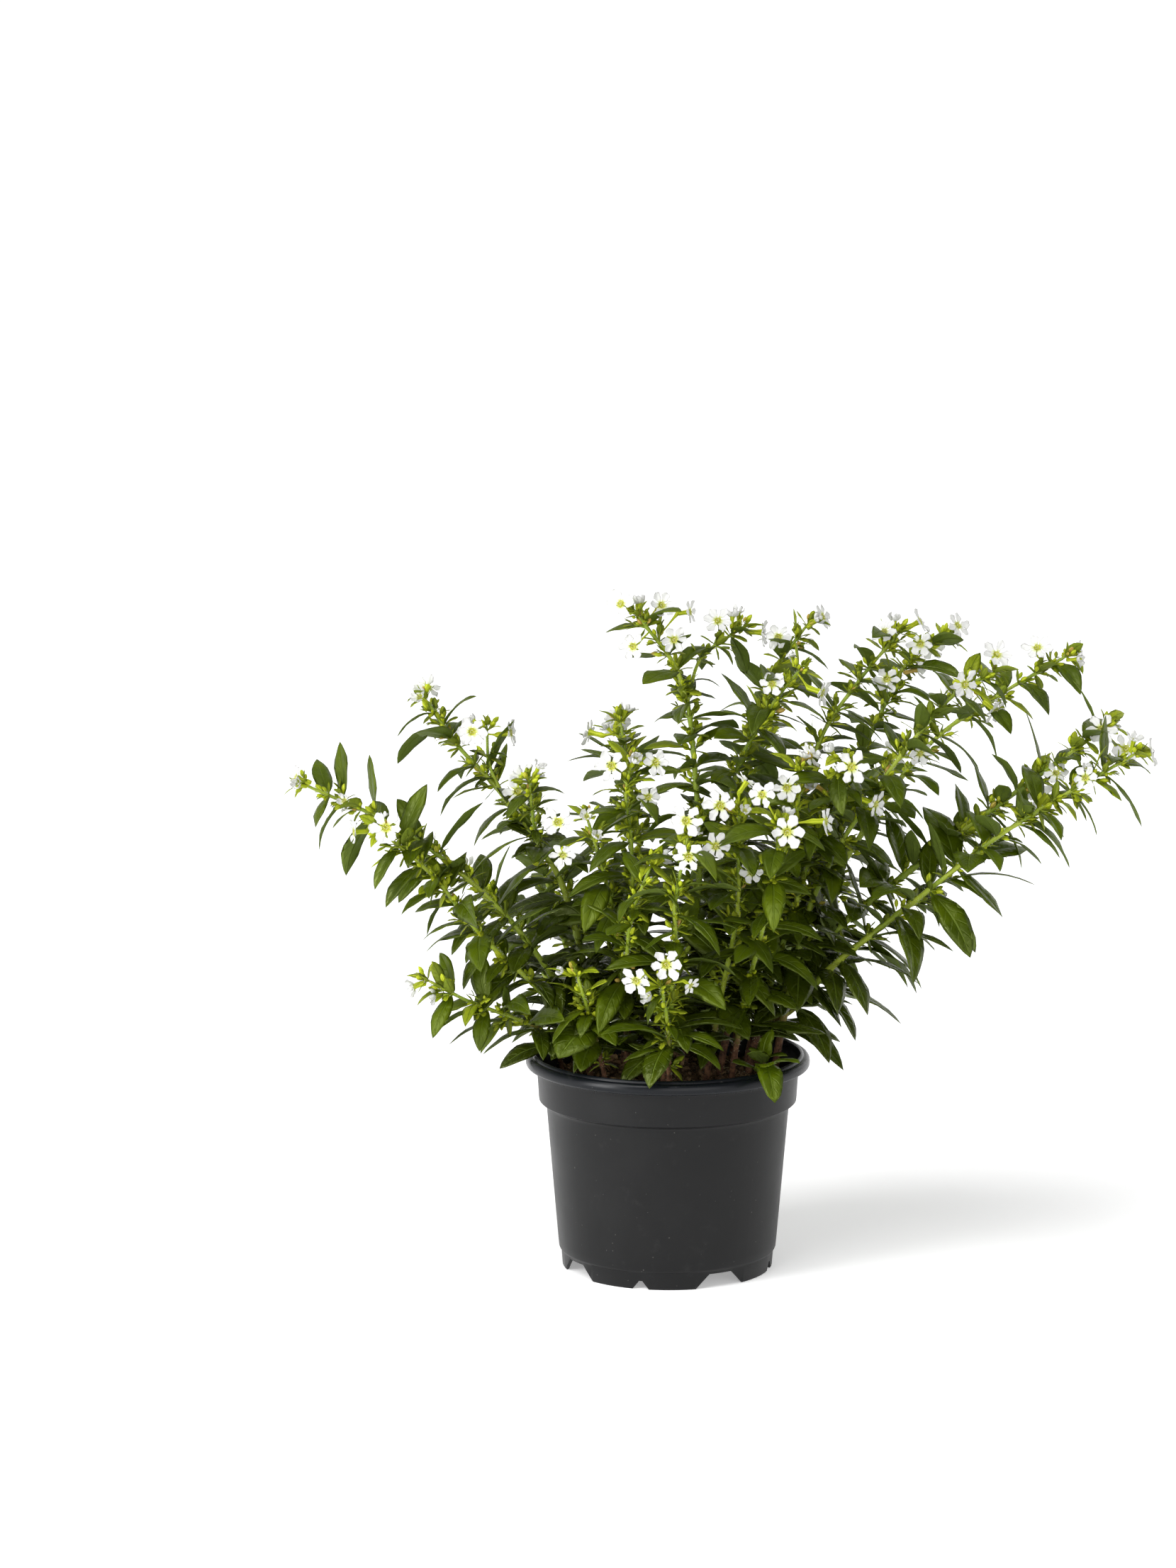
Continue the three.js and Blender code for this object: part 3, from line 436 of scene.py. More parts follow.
def make_peat():
    """The root ball's body, closed down to the pot's floor, with crumbs strewn on its top."""
    draw = drawer(77)
    turns = np.radians(np.arange(PEAT_SIDES) * 360 / PEAT_SIDES)
    reaches = np.linspace(0.4, PEAT_EDGE, PEAT_RINGS)
    rows = [[(*around(reach, turn), peat_height(*around(reach, turn))) for turn in turns]
            for reach in reaches]
    for reach, height in ((PEAT_EDGE, COLLAR_FOOT + 1.5), (WALL_TOP_RADIUS - 1.8, WALL_TOP + 0.6),
                          (WALL_FOOT_RADIUS - 1.9, FLOOR_TOP + 0.4), (0.5, FLOOR_TOP + 0.4)):
        rows.append([(*around(reach, turn), height) for turn in turns])
    skin = Skin()
    add_rings(skin, np.array(rows))
    balls = unit_ball(1), unit_ball(2)
    for _ in range(CRUMBS):
        x, y = spot_on_peat(draw)
        size = 0.5 + 2.1 * draw() ** 2.6
        points, faces = balls[size > 0.9]
        seed = Vector((draw() * 90, draw() * 90, draw() * 90))
        rough = np.array([0.72 + 0.7 * noise.noise(Vector(point) * 1.3 + seed) for point in points])
        lump = points * rough[:, None] * (1, 0.55 + 0.45 * draw(), 0.6 + 0.3 * draw()) * size
        turn = 7 * draw()
        cosine, sine = math.cos(turn), math.sin(turn)
        spin = np.array([[cosine, sine, 0], [-sine, cosine, 0], [0, 0, 1]])
        skin.add(lump @ spin + (x, y, peat_height(x, y) + 0.25 * size), faces, (draw(), 0, 0))
    return skin.make("peat_bed", crumbly_peat())


def make_litter():
    """Fibres that lie over the peat, and curled dry leaves that rest on it."""
    draw = drawer(911)
    skin = Skin()
    for _ in range(FIBRES):
        x, y = spot_on_peat(draw, 0, 0.92)
        heading, curl, length, arch = 2 * math.pi * draw(), 3 * (draw() - 0.5), 2 + 7 * draw(), draw()
        path = []
        for share in np.linspace(0, 1, 7):
            spot = (x + math.cos(heading + curl * share) * length * share,
                    y + math.sin(heading + curl * share) * length * share)
            if math.hypot(*spot) < PEAT_EDGE - 0.8:
                path.append((*spot, peat_height(*spot) + 0.3 + 1.1 * math.sin(share * 3) * arch))
        if len(path) > 3:
            add_tube(skin, path, 0.07 + 0.11 * draw(), 5, (0.2 + 0.8 * draw(), 0, 0))
    for i in range(DRY_LEAVES):
        x, y = spot_on_peat(draw, 0.3, 0.82)
        if i < 7:
            x, y = mix(-34, 34, (i + draw()) / 7), -mix(38, 45, draw()) + 0.007 * (10 * (i - 3)) ** 2
        heading, length, width = 2 * math.pi * draw(), 9 + 8 * draw(), 4 + 3 * draw()
        curl, lift = 0.5 + 0.9 * draw(), 0.8 + 2.5 * draw()
        share, across = np.meshgrid(np.linspace(0, 1, 12), np.linspace(-1, 1, 9), indexing="ij")
        half = width / 2 * np.sin(np.pi * np.clip(share, 0.02, 0.98)) ** 0.7
        aside = half * np.sin(across * curl) / curl
        rise = lift * np.sin(share * 2.6) + half * (1 - np.cos(across * curl)) / curl
        rise = rise + 0.35 * np.sin(share * 17 + across * 5 + i)
        ahead = length * (share - 0.5)
        top = np.stack([x + math.cos(heading) * ahead - math.sin(heading) * aside,
                        y + math.sin(heading) * ahead + math.cos(heading) * aside,
                        peat_height(x, y) + 0.6 + rise], -1)
        add_sheet(skin, top, (0, 0, 1), 0.22, (draw(), 1, 0))
    return skin.make("litter", dry_litter())


def crumbly_peat():
    """Near black where it is moist, and brown on the dry crumbs."""
    look = Look("crumbly_peat")
    dry = look.mark()[0]
    fine = look.noise(900, 6, 0.7)
    patch = look.noise(120, 4)
    moist = fine.ramp(0.4, 0.68) * 0.7 + patch.ramp(0.45, 0.7) * 0.3
    tint = moist.mix((0.060, 0.037, 0.021), (0.320, 0.195, 0.098))
    tint = (dry.ramp(0.4, 1.0) * 0.8).mix(tint, (0.42, 0.27, 0.14))
    return look.surface(tint, 0.95, look.bump(fine, 0.0012, 0.9), 0.2)


def dry_litter():
    """Straw-coloured fibres and tan fallen leaves."""
    look = Look("dry_litter")
    shade, leafy, _ = look.mark()
    vein = look.noise(600, 5)
    straw = shade.mix((0.14, 0.08, 0.04), (0.46, 0.36, 0.22))
    leaf = (shade * 0.6 + vein.ramp(0.35, 0.7) * 0.4).mix((0.24, 0.12, 0.05), (0.62, 0.42, 0.22))
    return look.surface(leafy.mix(straw, leaf), 0.8, look.bump(vein, 0.0006, 0.7), 0.3)


for bed in (make_peat(), make_litter()):
    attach(bed, "root")
    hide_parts("peat")


# The stems. Shoots of living wood, rooted in the peat, which arch outwards and fork. Their
# leaves stand in opposite pairs, each a quarter turn on from the last, and get smaller and
# younger towards the tip.
LEAF_SPREAD = (66, 42)
LEAF_SIZE = (0.88, 1.12)
LEAF_SAG = (0.25, 0.6)
LEAF_WIDTH = (0.34, 0.44)
SHORTEST_LEAF = 10
NODE_GAP = (9.0, 7.0)
NODE_ROOM = 3.2
LEAF_ROOM = 1.7
LOWEST_TIP = 102.0
LEAF_TRIES = 8
TIP_MATCH = 0.06
PAIR_WIDTH = 0.93
BIG_WIDTH = 0.94
FRONT_BIG_WIDTH = 1.3
TUFT_LENGTH = (2.5, 7)
TUFT_LEAF = (5.5, 9.5)


class Shoot:
    """A shoot on a smooth line through points: its girth at both ends, its bare length, its
    longest and shortest leaf, the gap between pairs low down and near the tip, the turn of the
    first pair, the leaves that stand out (distance along it, tip, width), and its near and far
    blooms (place, turn, tilt, size)."""

    def __init__(self, name, route, girth, bare, leaf, gap, turn, big=(), blooms=(), far=()):
        self.name, self.girth, self.bare, self.leaf, self.gap = name, girth, bare, leaf, gap
        self.turn, self.big, self.blooms, self.far = turn, big, blooms, far
        points = np.array(route, float)
        self.points = np.vstack([2 * points[0] - points[1], points, 2 * points[-1] - points[-2]])
        self.spans = len(points) - 1
        steps = np.diff(self.at(np.linspace(0, 1, 201)), axis=0)
        self.walked = np.concatenate([[0], np.cumsum(np.linalg.norm(steps, axis=1))])
        self.length = self.walked[-1]

    def at(self, time):
        time = np.clip(np.asarray(time, float), 0, 1) * self.spans
        span = np.minimum(time.astype(int), self.spans - 1)
        part = (time - span)[..., None]
        before, start, end, after = (self.points[span + i] for i in range(4))
        leave, arrive = (end - before) / 2, (after - start) / 2
        bend = 3 * (end - start) - 2 * leave - arrive
        return start + leave * part + bend * part ** 2 + (2 * (start - end) + leave + arrive) * part ** 3

    def frame(self, share):
        """The place at a share of the length, the heading there, and two directions across it."""
        time = np.interp(np.asarray(share) * self.length, self.walked, np.linspace(0, 1, 201))
        along = unit(self.at(time + 1e-4) - self.at(time - 1e-4))
        across = unit(np.cross(along, (0, 1, 0)))
        return self.at(time), along, across, np.cross(along, across)


SHOOTS = [
    Shoot("left_1", [(-37, 12, 70), (-35, 12, 84), (-31, 10, 99), (-44, 5, 161), (-69, 5, 200),
          (-88, 8, 221), (-102, 10, 241)], girth=(2.3, 0.9), bare=34, leaf=(42, 14), gap=(33, 20), turn=20,
          blooms=[(-82, -3, 229, 0, 10, 1), (-63, -5, 204, 5, 25, 1)], far=[(-66, 0, 228, 75, 10, 0.9),
          (-101, 16, 245, 160, 30, 0.9)]),
    Shoot("left_1", [(-52, 5, 176), (-56, -12, 190), (-58, -22, 211)], girth=(0.9, 0.7), bare=10,
          leaf=(15, 10), gap=(11, 9), turn=10),
    Shoot("left_1", [(-69, 5, 200), (-75, 4, 214), (-76, 4, 229)], girth=(0.9, 0.7), bare=9, leaf=(13, 10),
          gap=(10, 9), turn=50),
    Shoot("left_2", [(-36, 12, 88), (-46, -8, 121), (-71, -18, 157), (-109, -24, 190), (-151, -28, 211)],
          girth=(1.6, 0.8), bare=26, leaf=(36, 14), gap=(30, 20), turn=40, big=[(45, -70, -28, 116, 9)],
          blooms=[(-154, -31, 214, -75, 20, 0.9)], far=[(-130, -34, 192, -70, 0, 0.8)]),
    Shoot("left_3", [(-30, 2, 70), (-38, -6, 100), (-56, -17, 124), (-77, -26, 146), (-98, -35, 174),
          (-118, -45, 194)], girth=(1.7, 0.8), bare=30, leaf=(35, 14), gap=(30, 20), turn=75,
          blooms=[(-116, -52, 197, -10, 10, 1.05)]),
    Shoot("left_4", [(-44, 14, 70), (-46, 4, 90), (-53, -14, 104), (-65, -25, 112), (-83, -35, 121),
          (-100, -40, 131)], girth=(1.3, 0.8), bare=30, leaf=(30, 14), gap=(19, 16), turn=5,
          big=[(48, -78, -34, 99, 8.5), (50, -52, -38, 97, 9), (62, -92, -42, 105, 6),
          (78, -97, -46, 111, 5)]),
    Shoot("left_5", [(-31, 10, 103), (-22, -8, 140), (-27, -22, 172), (-34, -30, 197)], girth=(1.3, 0.8),
          bare=22, leaf=(36, 14), gap=(24, 17), turn=30, blooms=[(-46, -33, 196, -5, 10, 1.05)],
          far=[(-44, -37, 183, 0, -20, 0.8)]),
    Shoot("mid_1", [(-12, 16, 70), (-10, 15, 90), (5, 12, 125), (13, 10, 161), (11, 10, 213), (5, 8, 250),
          (-13, 5, 277)], girth=(2.2, 0.9), bare=38, leaf=(41, 14), gap=(33, 20), turn=15,
          blooms=[(-20, 2, 282, -30, 20, 0.95), (-3, 6, 281, 20, 25, 0.9), (2, -5, 268, 20, 0, 0.9)],
          far=[(-15, -4, 265, -15, 0, 0.9), (9, 15, 277, 70, 10, 0.8)]),
    Shoot("mid_1", [(8, 8, 240), (14, 19, 257), (31, 30, 268)], girth=(0.9, 0.7), bare=10, leaf=(14, 11),
          gap=(10, 9), turn=0, far=[(21, 24, 272, -20, 35, 0.9), (40, 32, 266, 80, 0, 0.9)]),
    Shoot("mid_2", [(-10, 15, 97), (-14, -5, 130), (-15, -20, 164), (-16, -28, 189), (-18, -32, 207),
          (-16, -35, 221)], girth=(1.3, 0.8), bare=24, leaf=(36, 14), gap=(24, 17), turn=60,
          blooms=[(-24, -42, 221, -5, 5, 1), (-6, -40, 222, 25, 15, 0.9)],
          far=[(-9, -42, 208, 15, -10, 0.8)]),
    Shoot("mid_3", [(-20, 26, 70), (-14, 28, 120), (-12, 32, 173), (-17, 36, 208), (-20, 40, 227)],
          girth=(1.8, 0.8), bare=41, leaf=(35, 14), gap=(33, 20), turn=35,
          far=[(-21, 49, 226, 170, 20, 0.9), (-33, 40, 222, -110, 10, 0.9)]),
    Shoot("mid_4", [(15, 28, 70), (18, 26, 110), (24, 20, 160), (28, 15, 206), (38, 10, 229), (48, 8, 245),
          (55, 5, 254)], girth=(2, 0.8), bare=41, leaf=(36, 14), gap=(33, 20), turn=80,
          blooms=[(64, 0, 245, 65, -15, 0.95)], far=[(43, -2, 249, -10, 15, 0.85)]),
    Shoot("mid_5", [(18, 38, 70), (22, 42, 130), (30, 50, 184), (44, 65, 239), (49, 70, 248),
          (61, 78, 263)], girth=(2, 0.8), bare=41, leaf=(36, 14), gap=(33, 20), turn=10,
          far=[(68, 82, 266, 70, 20, 0.95), (48, 62, 260, -20, 10, 0.85)]),
    Shoot("mid_6", [(20, 10, 70), (30, 4, 120), (46, -12, 171), (53, -22, 199), (53, -28, 217)],
          girth=(1.8, 0.8), bare=36, leaf=(37, 14), gap=(33, 20), turn=50,
          blooms=[(48, -37, 211, -10, 5, 0.95)], far=[(58, -22, 222, 130, 15, 0.85)]),
    Shoot("mid_7", [(32, 12, 70), (42, 4, 115), (56, -2, 164), (65, -22, 203), (71, -35, 222)],
          girth=(1.8, 0.8), bare=36, leaf=(37, 14), gap=(33, 20), turn=25,
          blooms=[(74, -45, 221, 5, 5, 1.05)], far=[(85, -30, 203, 50, -10, 0.85)]),
    Shoot("front_1", [(-4, -20, 70), (-1, -28, 95), (2, -50, 147), (2, -58, 168), (7, -63, 196)],
          girth=(1.7, 0.8), bare=30, leaf=(37, 14), gap=(30, 20), turn=65,
          blooms=[(6, -70, 203, -5, 20, 1.05), (7, -74, 189, -10, -10, 1)],
          far=[(18, -66, 192, 30, 0, 0.95)]),
    Shoot("front_2", [(-16, 2, 70), (-18, -20, 115), (-17, -40, 149), (-14, -50, 165), (-8, -56, 182)],
          girth=(1.6, 0.8), bare=30, leaf=(37, 14), gap=(30, 20), turn=0, big=[(28, -32, -52, 108, 8.5)]),
    Shoot("front_3", [(2, -34, 70), (0, -40, 90), (-1, -55, 115), (-4, -66, 134)], girth=(1.5, 0.9),
          bare=41, leaf=(17, 12), gap=(9, 8), turn=20, big=[(38, -17, -62, 101, 9), (40, -9, -72, 93, 9.5),
          (39, 21, -64, 99, 9), (44, 22, -68, 108, 7), (46, 30, -62, 116, 7), (43, -29, -64, 114, 8)],
          blooms=[(-2, -76, 145, 5, 5, 1.05), (-14, -75, 138, -25, -20, 1)],
          far=[(8, -70, 135, 45, -20, 0.6)]),
    Shoot("front_4", [(14, -6, 70), (22, -18, 120), (28, -32, 157), (28, -42, 184), (28, -48, 202)],
          girth=(1.7, 0.8), bare=31, leaf=(38, 14), gap=(30, 20), turn=85,
          blooms=[(20, -57, 207, -5, 5, 1.05)], far=[(33, -55, 179, 10, 30, 0.8),
          (31, -47, 215, 120, 50, 0.8)]),
    Shoot("front_5", [(25, -4, 70), (31, -20, 115), (39, -38, 155), (43, -50, 183), (44, -57, 199)],
          girth=(1.6, 0.8), bare=31, leaf=(38, 14), gap=(30, 20), turn=45,
          blooms=[(47, -67, 198, 5, 0, 1.05), (63, -59, 201, 65, 5, 0.9)],
          far=[(37, -60, 212, -15, 25, 0.9)]),
    Shoot("front_6", [(-24, -14, 70), (-28, -22, 92), (-34, -35, 118), (-38, -41, 133)], girth=(1.4, 0.9),
          bare=30, leaf=(30, 14), gap=(11, 9), turn=70, big=[(44, -46, -52, 101, 14),
          (36, -36, -46, 90, 9)]),
    Shoot("front_7", [(34, -30, 70), (37, -36, 88), (40, -41, 99)], girth=(1.2, 0.9), bare=30,
          leaf=(11, 10), gap=(8, 8), turn=0, big=[(22, 41, -64, 85, 8), (25, 54, -47, 98, 7),
          (28, 43, -37, 110, 7), (23, 26, -45, 98, 5), (27, 33, -52, 104, 6)]),
    Shoot("right_1", [(37, 25, 70), (39, 21, 85), (41, 18, 101), (64, 8, 136), (102, 0, 170),
          (141, -6, 201), (182, -12, 233)], girth=(2.5, 0.9), bare=30, leaf=(41, 14), gap=(26, 18), turn=30,
          big=[(33, 74, -14, 88, 12.5), (56, 74, 4, 109, 11)], blooms=[(179, -16, 232, -10, 20, 0.95),
          (189, -17, 224, 25, 0, 1)], far=[(154, -19, 204, 0, -15, 0.95), (161, -12, 213, 0, 40, 0.8)]),
    Shoot("right_2", [(41, 18, 101), (52, 8, 108), (70, -3, 130), (102, -15, 159), (140, -28, 192),
          (191, -40, 226)], girth=(1.9, 0.8), bare=20, leaf=(46, 14), gap=(24, 17), turn=0,
          big=[(32, 99, -6, 106, 12), (50, 109, -16, 127, 10), (66, 123, -24, 143, 9),
          (104, 152, -34, 171, 8)], blooms=[(197, -40, 226, 80, 10, 0.9)],
          far=[(170, -42, 216, 0, 0, 0.8)]),
    Shoot("right_3", [(40, 22, 88), (52, 26, 125), (72, 25, 164), (108, 30, 215), (138, 30, 238),
          (169, 32, 256)], girth=(1.9, 0.8), bare=32, leaf=(40, 14), gap=(26, 18), turn=50,
          blooms=[(156, 28, 260, -15, 40, 0.95), (174, 34, 257, 80, 10, 0.95)],
          far=[(138, 22, 234, 50, -30, 0.9)]),
    Shoot("right_4", [(44, 10, 70), (50, 6, 110), (63, 0, 163), (89, -12, 210), (117, -8, 244),
          (135, -5, 254)], girth=(2, 0.8), bare=38, leaf=(40, 14), gap=(30, 19), turn=70,
          blooms=[(122, -17, 251, 30, 0, 1)], far=[(136, -7, 262, 20, 40, 0.95),
          (104, -16, 222, 20, -20, 0.8)]),
    Shoot("right_5", [(32, 26, 70), (42, 26, 120), (51, 25, 173), (64, 25, 220), (81, 28, 246),
          (98, 32, 266)], girth=(2, 0.8), bare=41, leaf=(37, 14), gap=(33, 20), turn=10,
          blooms=[(92, 19, 248, 5, -10, 0.9)], far=[(91, 26, 267, -30, 40, 0.9),
          (107, 38, 270, 80, 30, 0.9)]),
    Shoot("right_6", [(26, 36, 70), (38, 41, 120), (64, 45, 170), (93, 60, 229), (104, 68, 248),
          (120, 75, 258)], girth=(2, 0.8), bare=41, leaf=(37, 14), gap=(33, 20), turn=55,
          blooms=[(109, 62, 257, -10, 0, 0.9)], far=[(126, 76, 263, 50, 30, 0.95),
          (116, 84, 252, 170, 0, 0.85)]),
    Shoot("back_1", [(-28, 34, 70), (-38, 44, 110), (-52, 62, 155), (-62, 80, 190)], girth=(1.8, 0.8),
          bare=26, leaf=(40, 14), gap=(30, 20), turn=40, far=[(-62, 90, 194, 175, 20, 1)]),
    Shoot("back_2", [(-8, 40, 70), (-10, 52, 120), (-16, 76, 175), (-20, 95, 212)], girth=(1.9, 0.8),
          bare=28, leaf=(40, 14), gap=(30, 20), turn=0, far=[(-22, 104, 215, -175, 20, 1)]),
    Shoot("back_3", [(7, 42, 70), (10, 48, 93), (16, 60, 120), (32, 82, 175), (45, 100, 212)],
          girth=(1.9, 0.8), bare=26, leaf=(40, 14), gap=(30, 20), turn=65,
          far=[(44, 109, 215, 170, 20, 1)]),
    Shoot("back_3", [(10, 49, 96), (28, 62, 112), (52, 74, 128), (75, 78, 144)], girth=(1.3, 0.8), bare=22,
          leaf=(36, 14), gap=(23, 18), turn=28, far=[(79, 86, 147, 140, 10, 0.9)]),
    Shoot("back_4", [(-33, 22, 70), (-38, 29, 90), (-60, 51, 128), (-80, 70, 152)], girth=(1.6, 0.8),
          bare=30, leaf=(38, 14), gap=(25, 18), turn=10, far=[(-86, 77, 156, -140, 10, 0.95)]),
    Shoot("back_5", [(35, 41, 102), (50, 58, 142), (72, 80, 174), (96, 95, 198)], girth=(1.4, 0.8), bare=20,
          leaf=(37, 14), gap=(30, 20), turn=45, far=[(101, 102, 202, 140, 20, 1)]),
]
for number, shoot in enumerate(SHOOTS):
    shoot.number = number


class Leaf:
    """A blade from its root through a knee to its tip. face is the way its upper side looks,
    and tone says how young it is."""

    def __init__(self, root, knee, tip, width, face, tone, rounded=0.0):
        self.root, self.knee, self.tip, self.face = (np.asarray(p, float) for p in (root, knee, tip, face))
        self.width, self.tone, self.rounded = width, tone, rounded

    def bent(self, turn, tilt, size):
        side = unit(np.cross(self.tip - self.root, self.face))
        about = Quaternion((0, 0, 1), math.radians(turn)) @ Quaternion(side, math.radians(tilt))
        about = np.array(about.to_matrix()).T
        knee, tip = (self.root + size * (p - self.root) @ about for p in (self.knee, self.tip))
        return Leaf(self.root, knee, tip, self.width * size, self.face @ about, self.tone, self.rounded)

    def size(self):
        return float(np.linalg.norm(self.tip - self.root))

    def line(self, share):
        share = np.asarray(share, float)[..., None]
        rest = 1 - share
        return rest ** 2 * self.root + 2 * rest * share * self.knee + share ** 2 * self.tip


def leaning(along, across, over, turn, lean):
    """The direction across a stem at an angle round it, and the one that leans out that way."""
    outward = across * math.cos(math.radians(turn)) + over * math.sin(math.radians(turn))
    return outward, along * math.cos(math.radians(lean)) + outward * math.sin(math.radians(lean))


def leaf_on(frame_here, turn, spread, size, sag, plump, tone, rounded=0.0):
    """A leaf that leaves its stem at the angle spread, towards turn, and hangs by sag."""
    place, along, across, over = frame_here
    heading = leaning(along, across, over, turn, spread)[1]
    chord = unit(heading - np.array([0, 0, sag]))
    lean = along * 0.5 + (0, 0, 1)
    return Leaf(place, place + heading * size * 0.5, place + chord * size * 0.94, size * plump,
                lean - heading * (lean @ heading), tone, rounded)


def pair_leaf(shoot, draw, distance, longest, turn):
    share = distance / shoot.length
    size, sag, plump = longest * mix(*LEAF_SIZE, draw()), mix(*LEAF_SAG, draw()), mix(*LEAF_WIDTH, draw())
    return leaf_on(shoot.frame(share), turn, mix(*LEAF_SPREAD, share), size, sag, plump, share)


def named_leaf(shoot, distance, tip, width):
    share = distance / shoot.length
    place = shoot.frame(share)[0]
    chord = np.array(tip) - place
    reach = np.linalg.norm(chord)
    face = unit((0, 0, 1) - chord * chord[2] / reach ** 2)
    return Leaf(place, place + chord * 0.5 + face * 0.2 * reach, tip, width, face, mix(0.3, 0.6, share))


def main_leaves(shoot):
    """The leaves of the frame, as the frame's own rule draws them, with the pairs' distances."""
    draw = drawer(1000 + 37 * shoot.number)
    leaves = [named_leaf(shoot, distance, tip, width) for distance, *tip, width in shoot.big]
    distance, nodes = shoot.bare, []
    while distance < shoot.length - 7:
        share = distance / shoot.length
        nodes.append(distance)
        turn = shoot.turn + 90 * (len(nodes) - 1) + 24 * (draw() - 0.5)
        for half in (0, 180):
            leaves.append(pair_leaf(shoot, draw, distance, mix(*shoot.leaf, share), turn + half))
        distance += mix(*shoot.gap, share) * (0.9 + 0.2 * draw())
    leaves = [leaf for leaf in leaves if leaf.size() > SHORTEST_LEAF]
    turn = shoot.turn + 90 * math.floor(draw() + 0.5)
    for half in (0, 180):
        leaves.append(pair_leaf(shoot, draw, shoot.length - 1, shoot.leaf[1], turn + half))
    return leaves, nodes


# The frame bends a leaf clear of its neighbours by the first of these that serves: a turn
# about the vertical, a tilt and a size. The bend used is found again by the leaf's tip.
BENDS = [
    (0, 0, 1), (14, 0, 1), (-14, 0, 1), (0, 12, 1), (0, -12, 1), (26, 0, 1), (-26, 0, 1), (0, 24, 1),
    (16, 14, 0.9), (-16, 14, 0.9), (16, -14, 0.9), (-16, -14, 0.9), (38, 0, 0.9), (-38, 0, 0.9),
    (0, 34, 0.85), (0, -26, 0.85), (24, 20, 0.75), (-24, 20, 0.75), (50, 10, 0.75), (-50, 10, 0.75),
    (0, 0, 0.65), (20, 0, 0.6), (-20, 0, 0.6), (0, 40, 0.6),
]


class Crowd:
    """The places already taken by stems and leaves."""

    def __init__(self):
        self.points, self.count = np.zeros((60000, 3)), 0

    def take(self, points):
        points = np.asarray(points).reshape(-1, 3)
        self.points[self.count:self.count + len(points)] = points
        self.count += len(points)

    def has_room(self, points, reach):
        apart = self.points[:self.count, None] - np.asarray(points).reshape(-1, 3)
        return bool(np.einsum("ijk,ijk->ij", apart, apart).min() > reach ** 2)


def corners_of(node):
    """A tree of the frame node's corners, in millimetres about the pot's axis."""
    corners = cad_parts[node].data.vertices
    tree = kdtree.KDTree(len(corners))
    for i, corner in enumerate(corners):
        tree.insert((np.array(corner.co) - AXIS) / MM, i)
    tree.balance()
    return tree


def as_in_frame(leaf, tree):
    for bend in BENDS:
        found = leaf.bent(*bend)
        if tree.find(found.tip)[2] < TIP_MATCH:
            return found
    return None


crowd = Crowd()
names = sorted({shoot.name for shoot in SHOOTS})
shoots = {name: [shoot for shoot in SHOOTS if shoot.name == name] for name in names}
trees = {name: corners_of("stem_" + name) for name in names}
leaves = {name: [] for name in names}
BLADE = np.array([0.3, 0.5, 0.7, 0.9, 1.0])
for shoot in SHOOTS:
    crowd.take(shoot.frame(np.linspace(0, 1, int(shoot.length / 2.5)))[0])
for shoot in SHOOTS:
    drawn, nodes = main_leaves(shoot)
    shoot.pairs = [(distance, shoot.turn + 90 * i) for i, distance in enumerate(nodes)]
    for i, leaf in enumerate(drawn):
        stands_out = i < len(shoot.big)
        leaf = as_in_frame(leaf, trees[shoot.name]) or (leaf if stands_out else None)
        if leaf:
            big_width = FRONT_BIG_WIDTH if shoot.name.startswith("front") else BIG_WIDTH
            leaf.width *= big_width if stands_out else PAIR_WIDTH
            leaves[shoot.name].append(leaf)
            crowd.take(leaf.line(BLADE))

# The sprig at the front hangs over the pot's lip. Its few leaves are round and young.
SPRIG = "front_7"
SPRIG_TONE = 0.66
for leaf in leaves[SPRIG]:
    leaf.width, leaf.rounded, leaf.tone = leaf.width * 1.1, 1.0, SPRIG_TONE
leaves[SPRIG].append(
    Leaf((38.6, -38.5, 94), (41, -54, 101), (43, -64, 85), 11, (0.25, -0.6, 0.75), SPRIG_TONE, 1.0))


def fill_in(shoot):
    """The smaller pairs between the frame's own, each leaf where it finds room."""
    draw = drawer(5000 + 91 * shoot.number)
    kept, added = [distance for distance, _ in shoot.pairs], []
    distance, turn = mix(0.45, 0.75, draw()) * shoot.bare, shoot.turn + 45
    while distance < shoot.length - 4:
        share = distance / shoot.length
        clear = all(abs(distance - other) > NODE_ROOM for other in kept)
        if clear and draw() < mix(0.3, 1.3, share / 0.4):
            added.append((distance, turn))
            for half in (0, 180):
                for _ in range(LEAF_TRIES):
                    size = (mix(*shoot.leaf, share) + mix(2, 11, share)) * mix(0.75, 1.18, draw())
                    leaf = leaf_on(shoot.frame(share), turn + half + 60 * (draw() - 0.5),
                                   mix(76, 62, share) + 20 * (draw() - 0.5), size, mix(0.1, 0.7, draw()),
                                   mix(0.29, 0.38, draw()), min(share, 1.0 if size < 15 else 0.62))
                    roll = 0.9 * (draw() - 0.5) * np.cross(leaf.face, leaf.tip - leaf.root)
                    leaf.face = unit(leaf.face + roll / leaf.size())
                    if crowd.has_room(leaf.line(BLADE), LEAF_ROOM) and leaf.tip[2] > LOWEST_TIP:
                        leaves[shoot.name].append(leaf)
                        crowd.take(leaf.line(BLADE))
                        break
        distance += mix(*NODE_GAP, share) * mix(0.85, 1.15, draw())
        turn += 90
    return added


def tuft(name, frame_here, length, size, draw, tone):
    """A short side shoot with a few pairs of young leaves, the youngest ones upright."""
    place, along, across, over = frame_here
    tufts[name].append((place, place + along * length))
    for i in range(3):
        share = i / 2
        at = (place + along * length * share, along, across, over)
        for half in (0, 180):
            leaves[name].append(leaf_on(
                at, 90 * i + half + 40 * (draw() - 0.5), mix(64, 20, share) + 16 * (draw() - 0.5),
                size * mix(1, 0.55, share) * mix(0.8, 1.15, draw()), 0.35 * draw(), mix(0.42, 0.55, draw()),
                min(1, tone + 0.3 * share), 0.6))


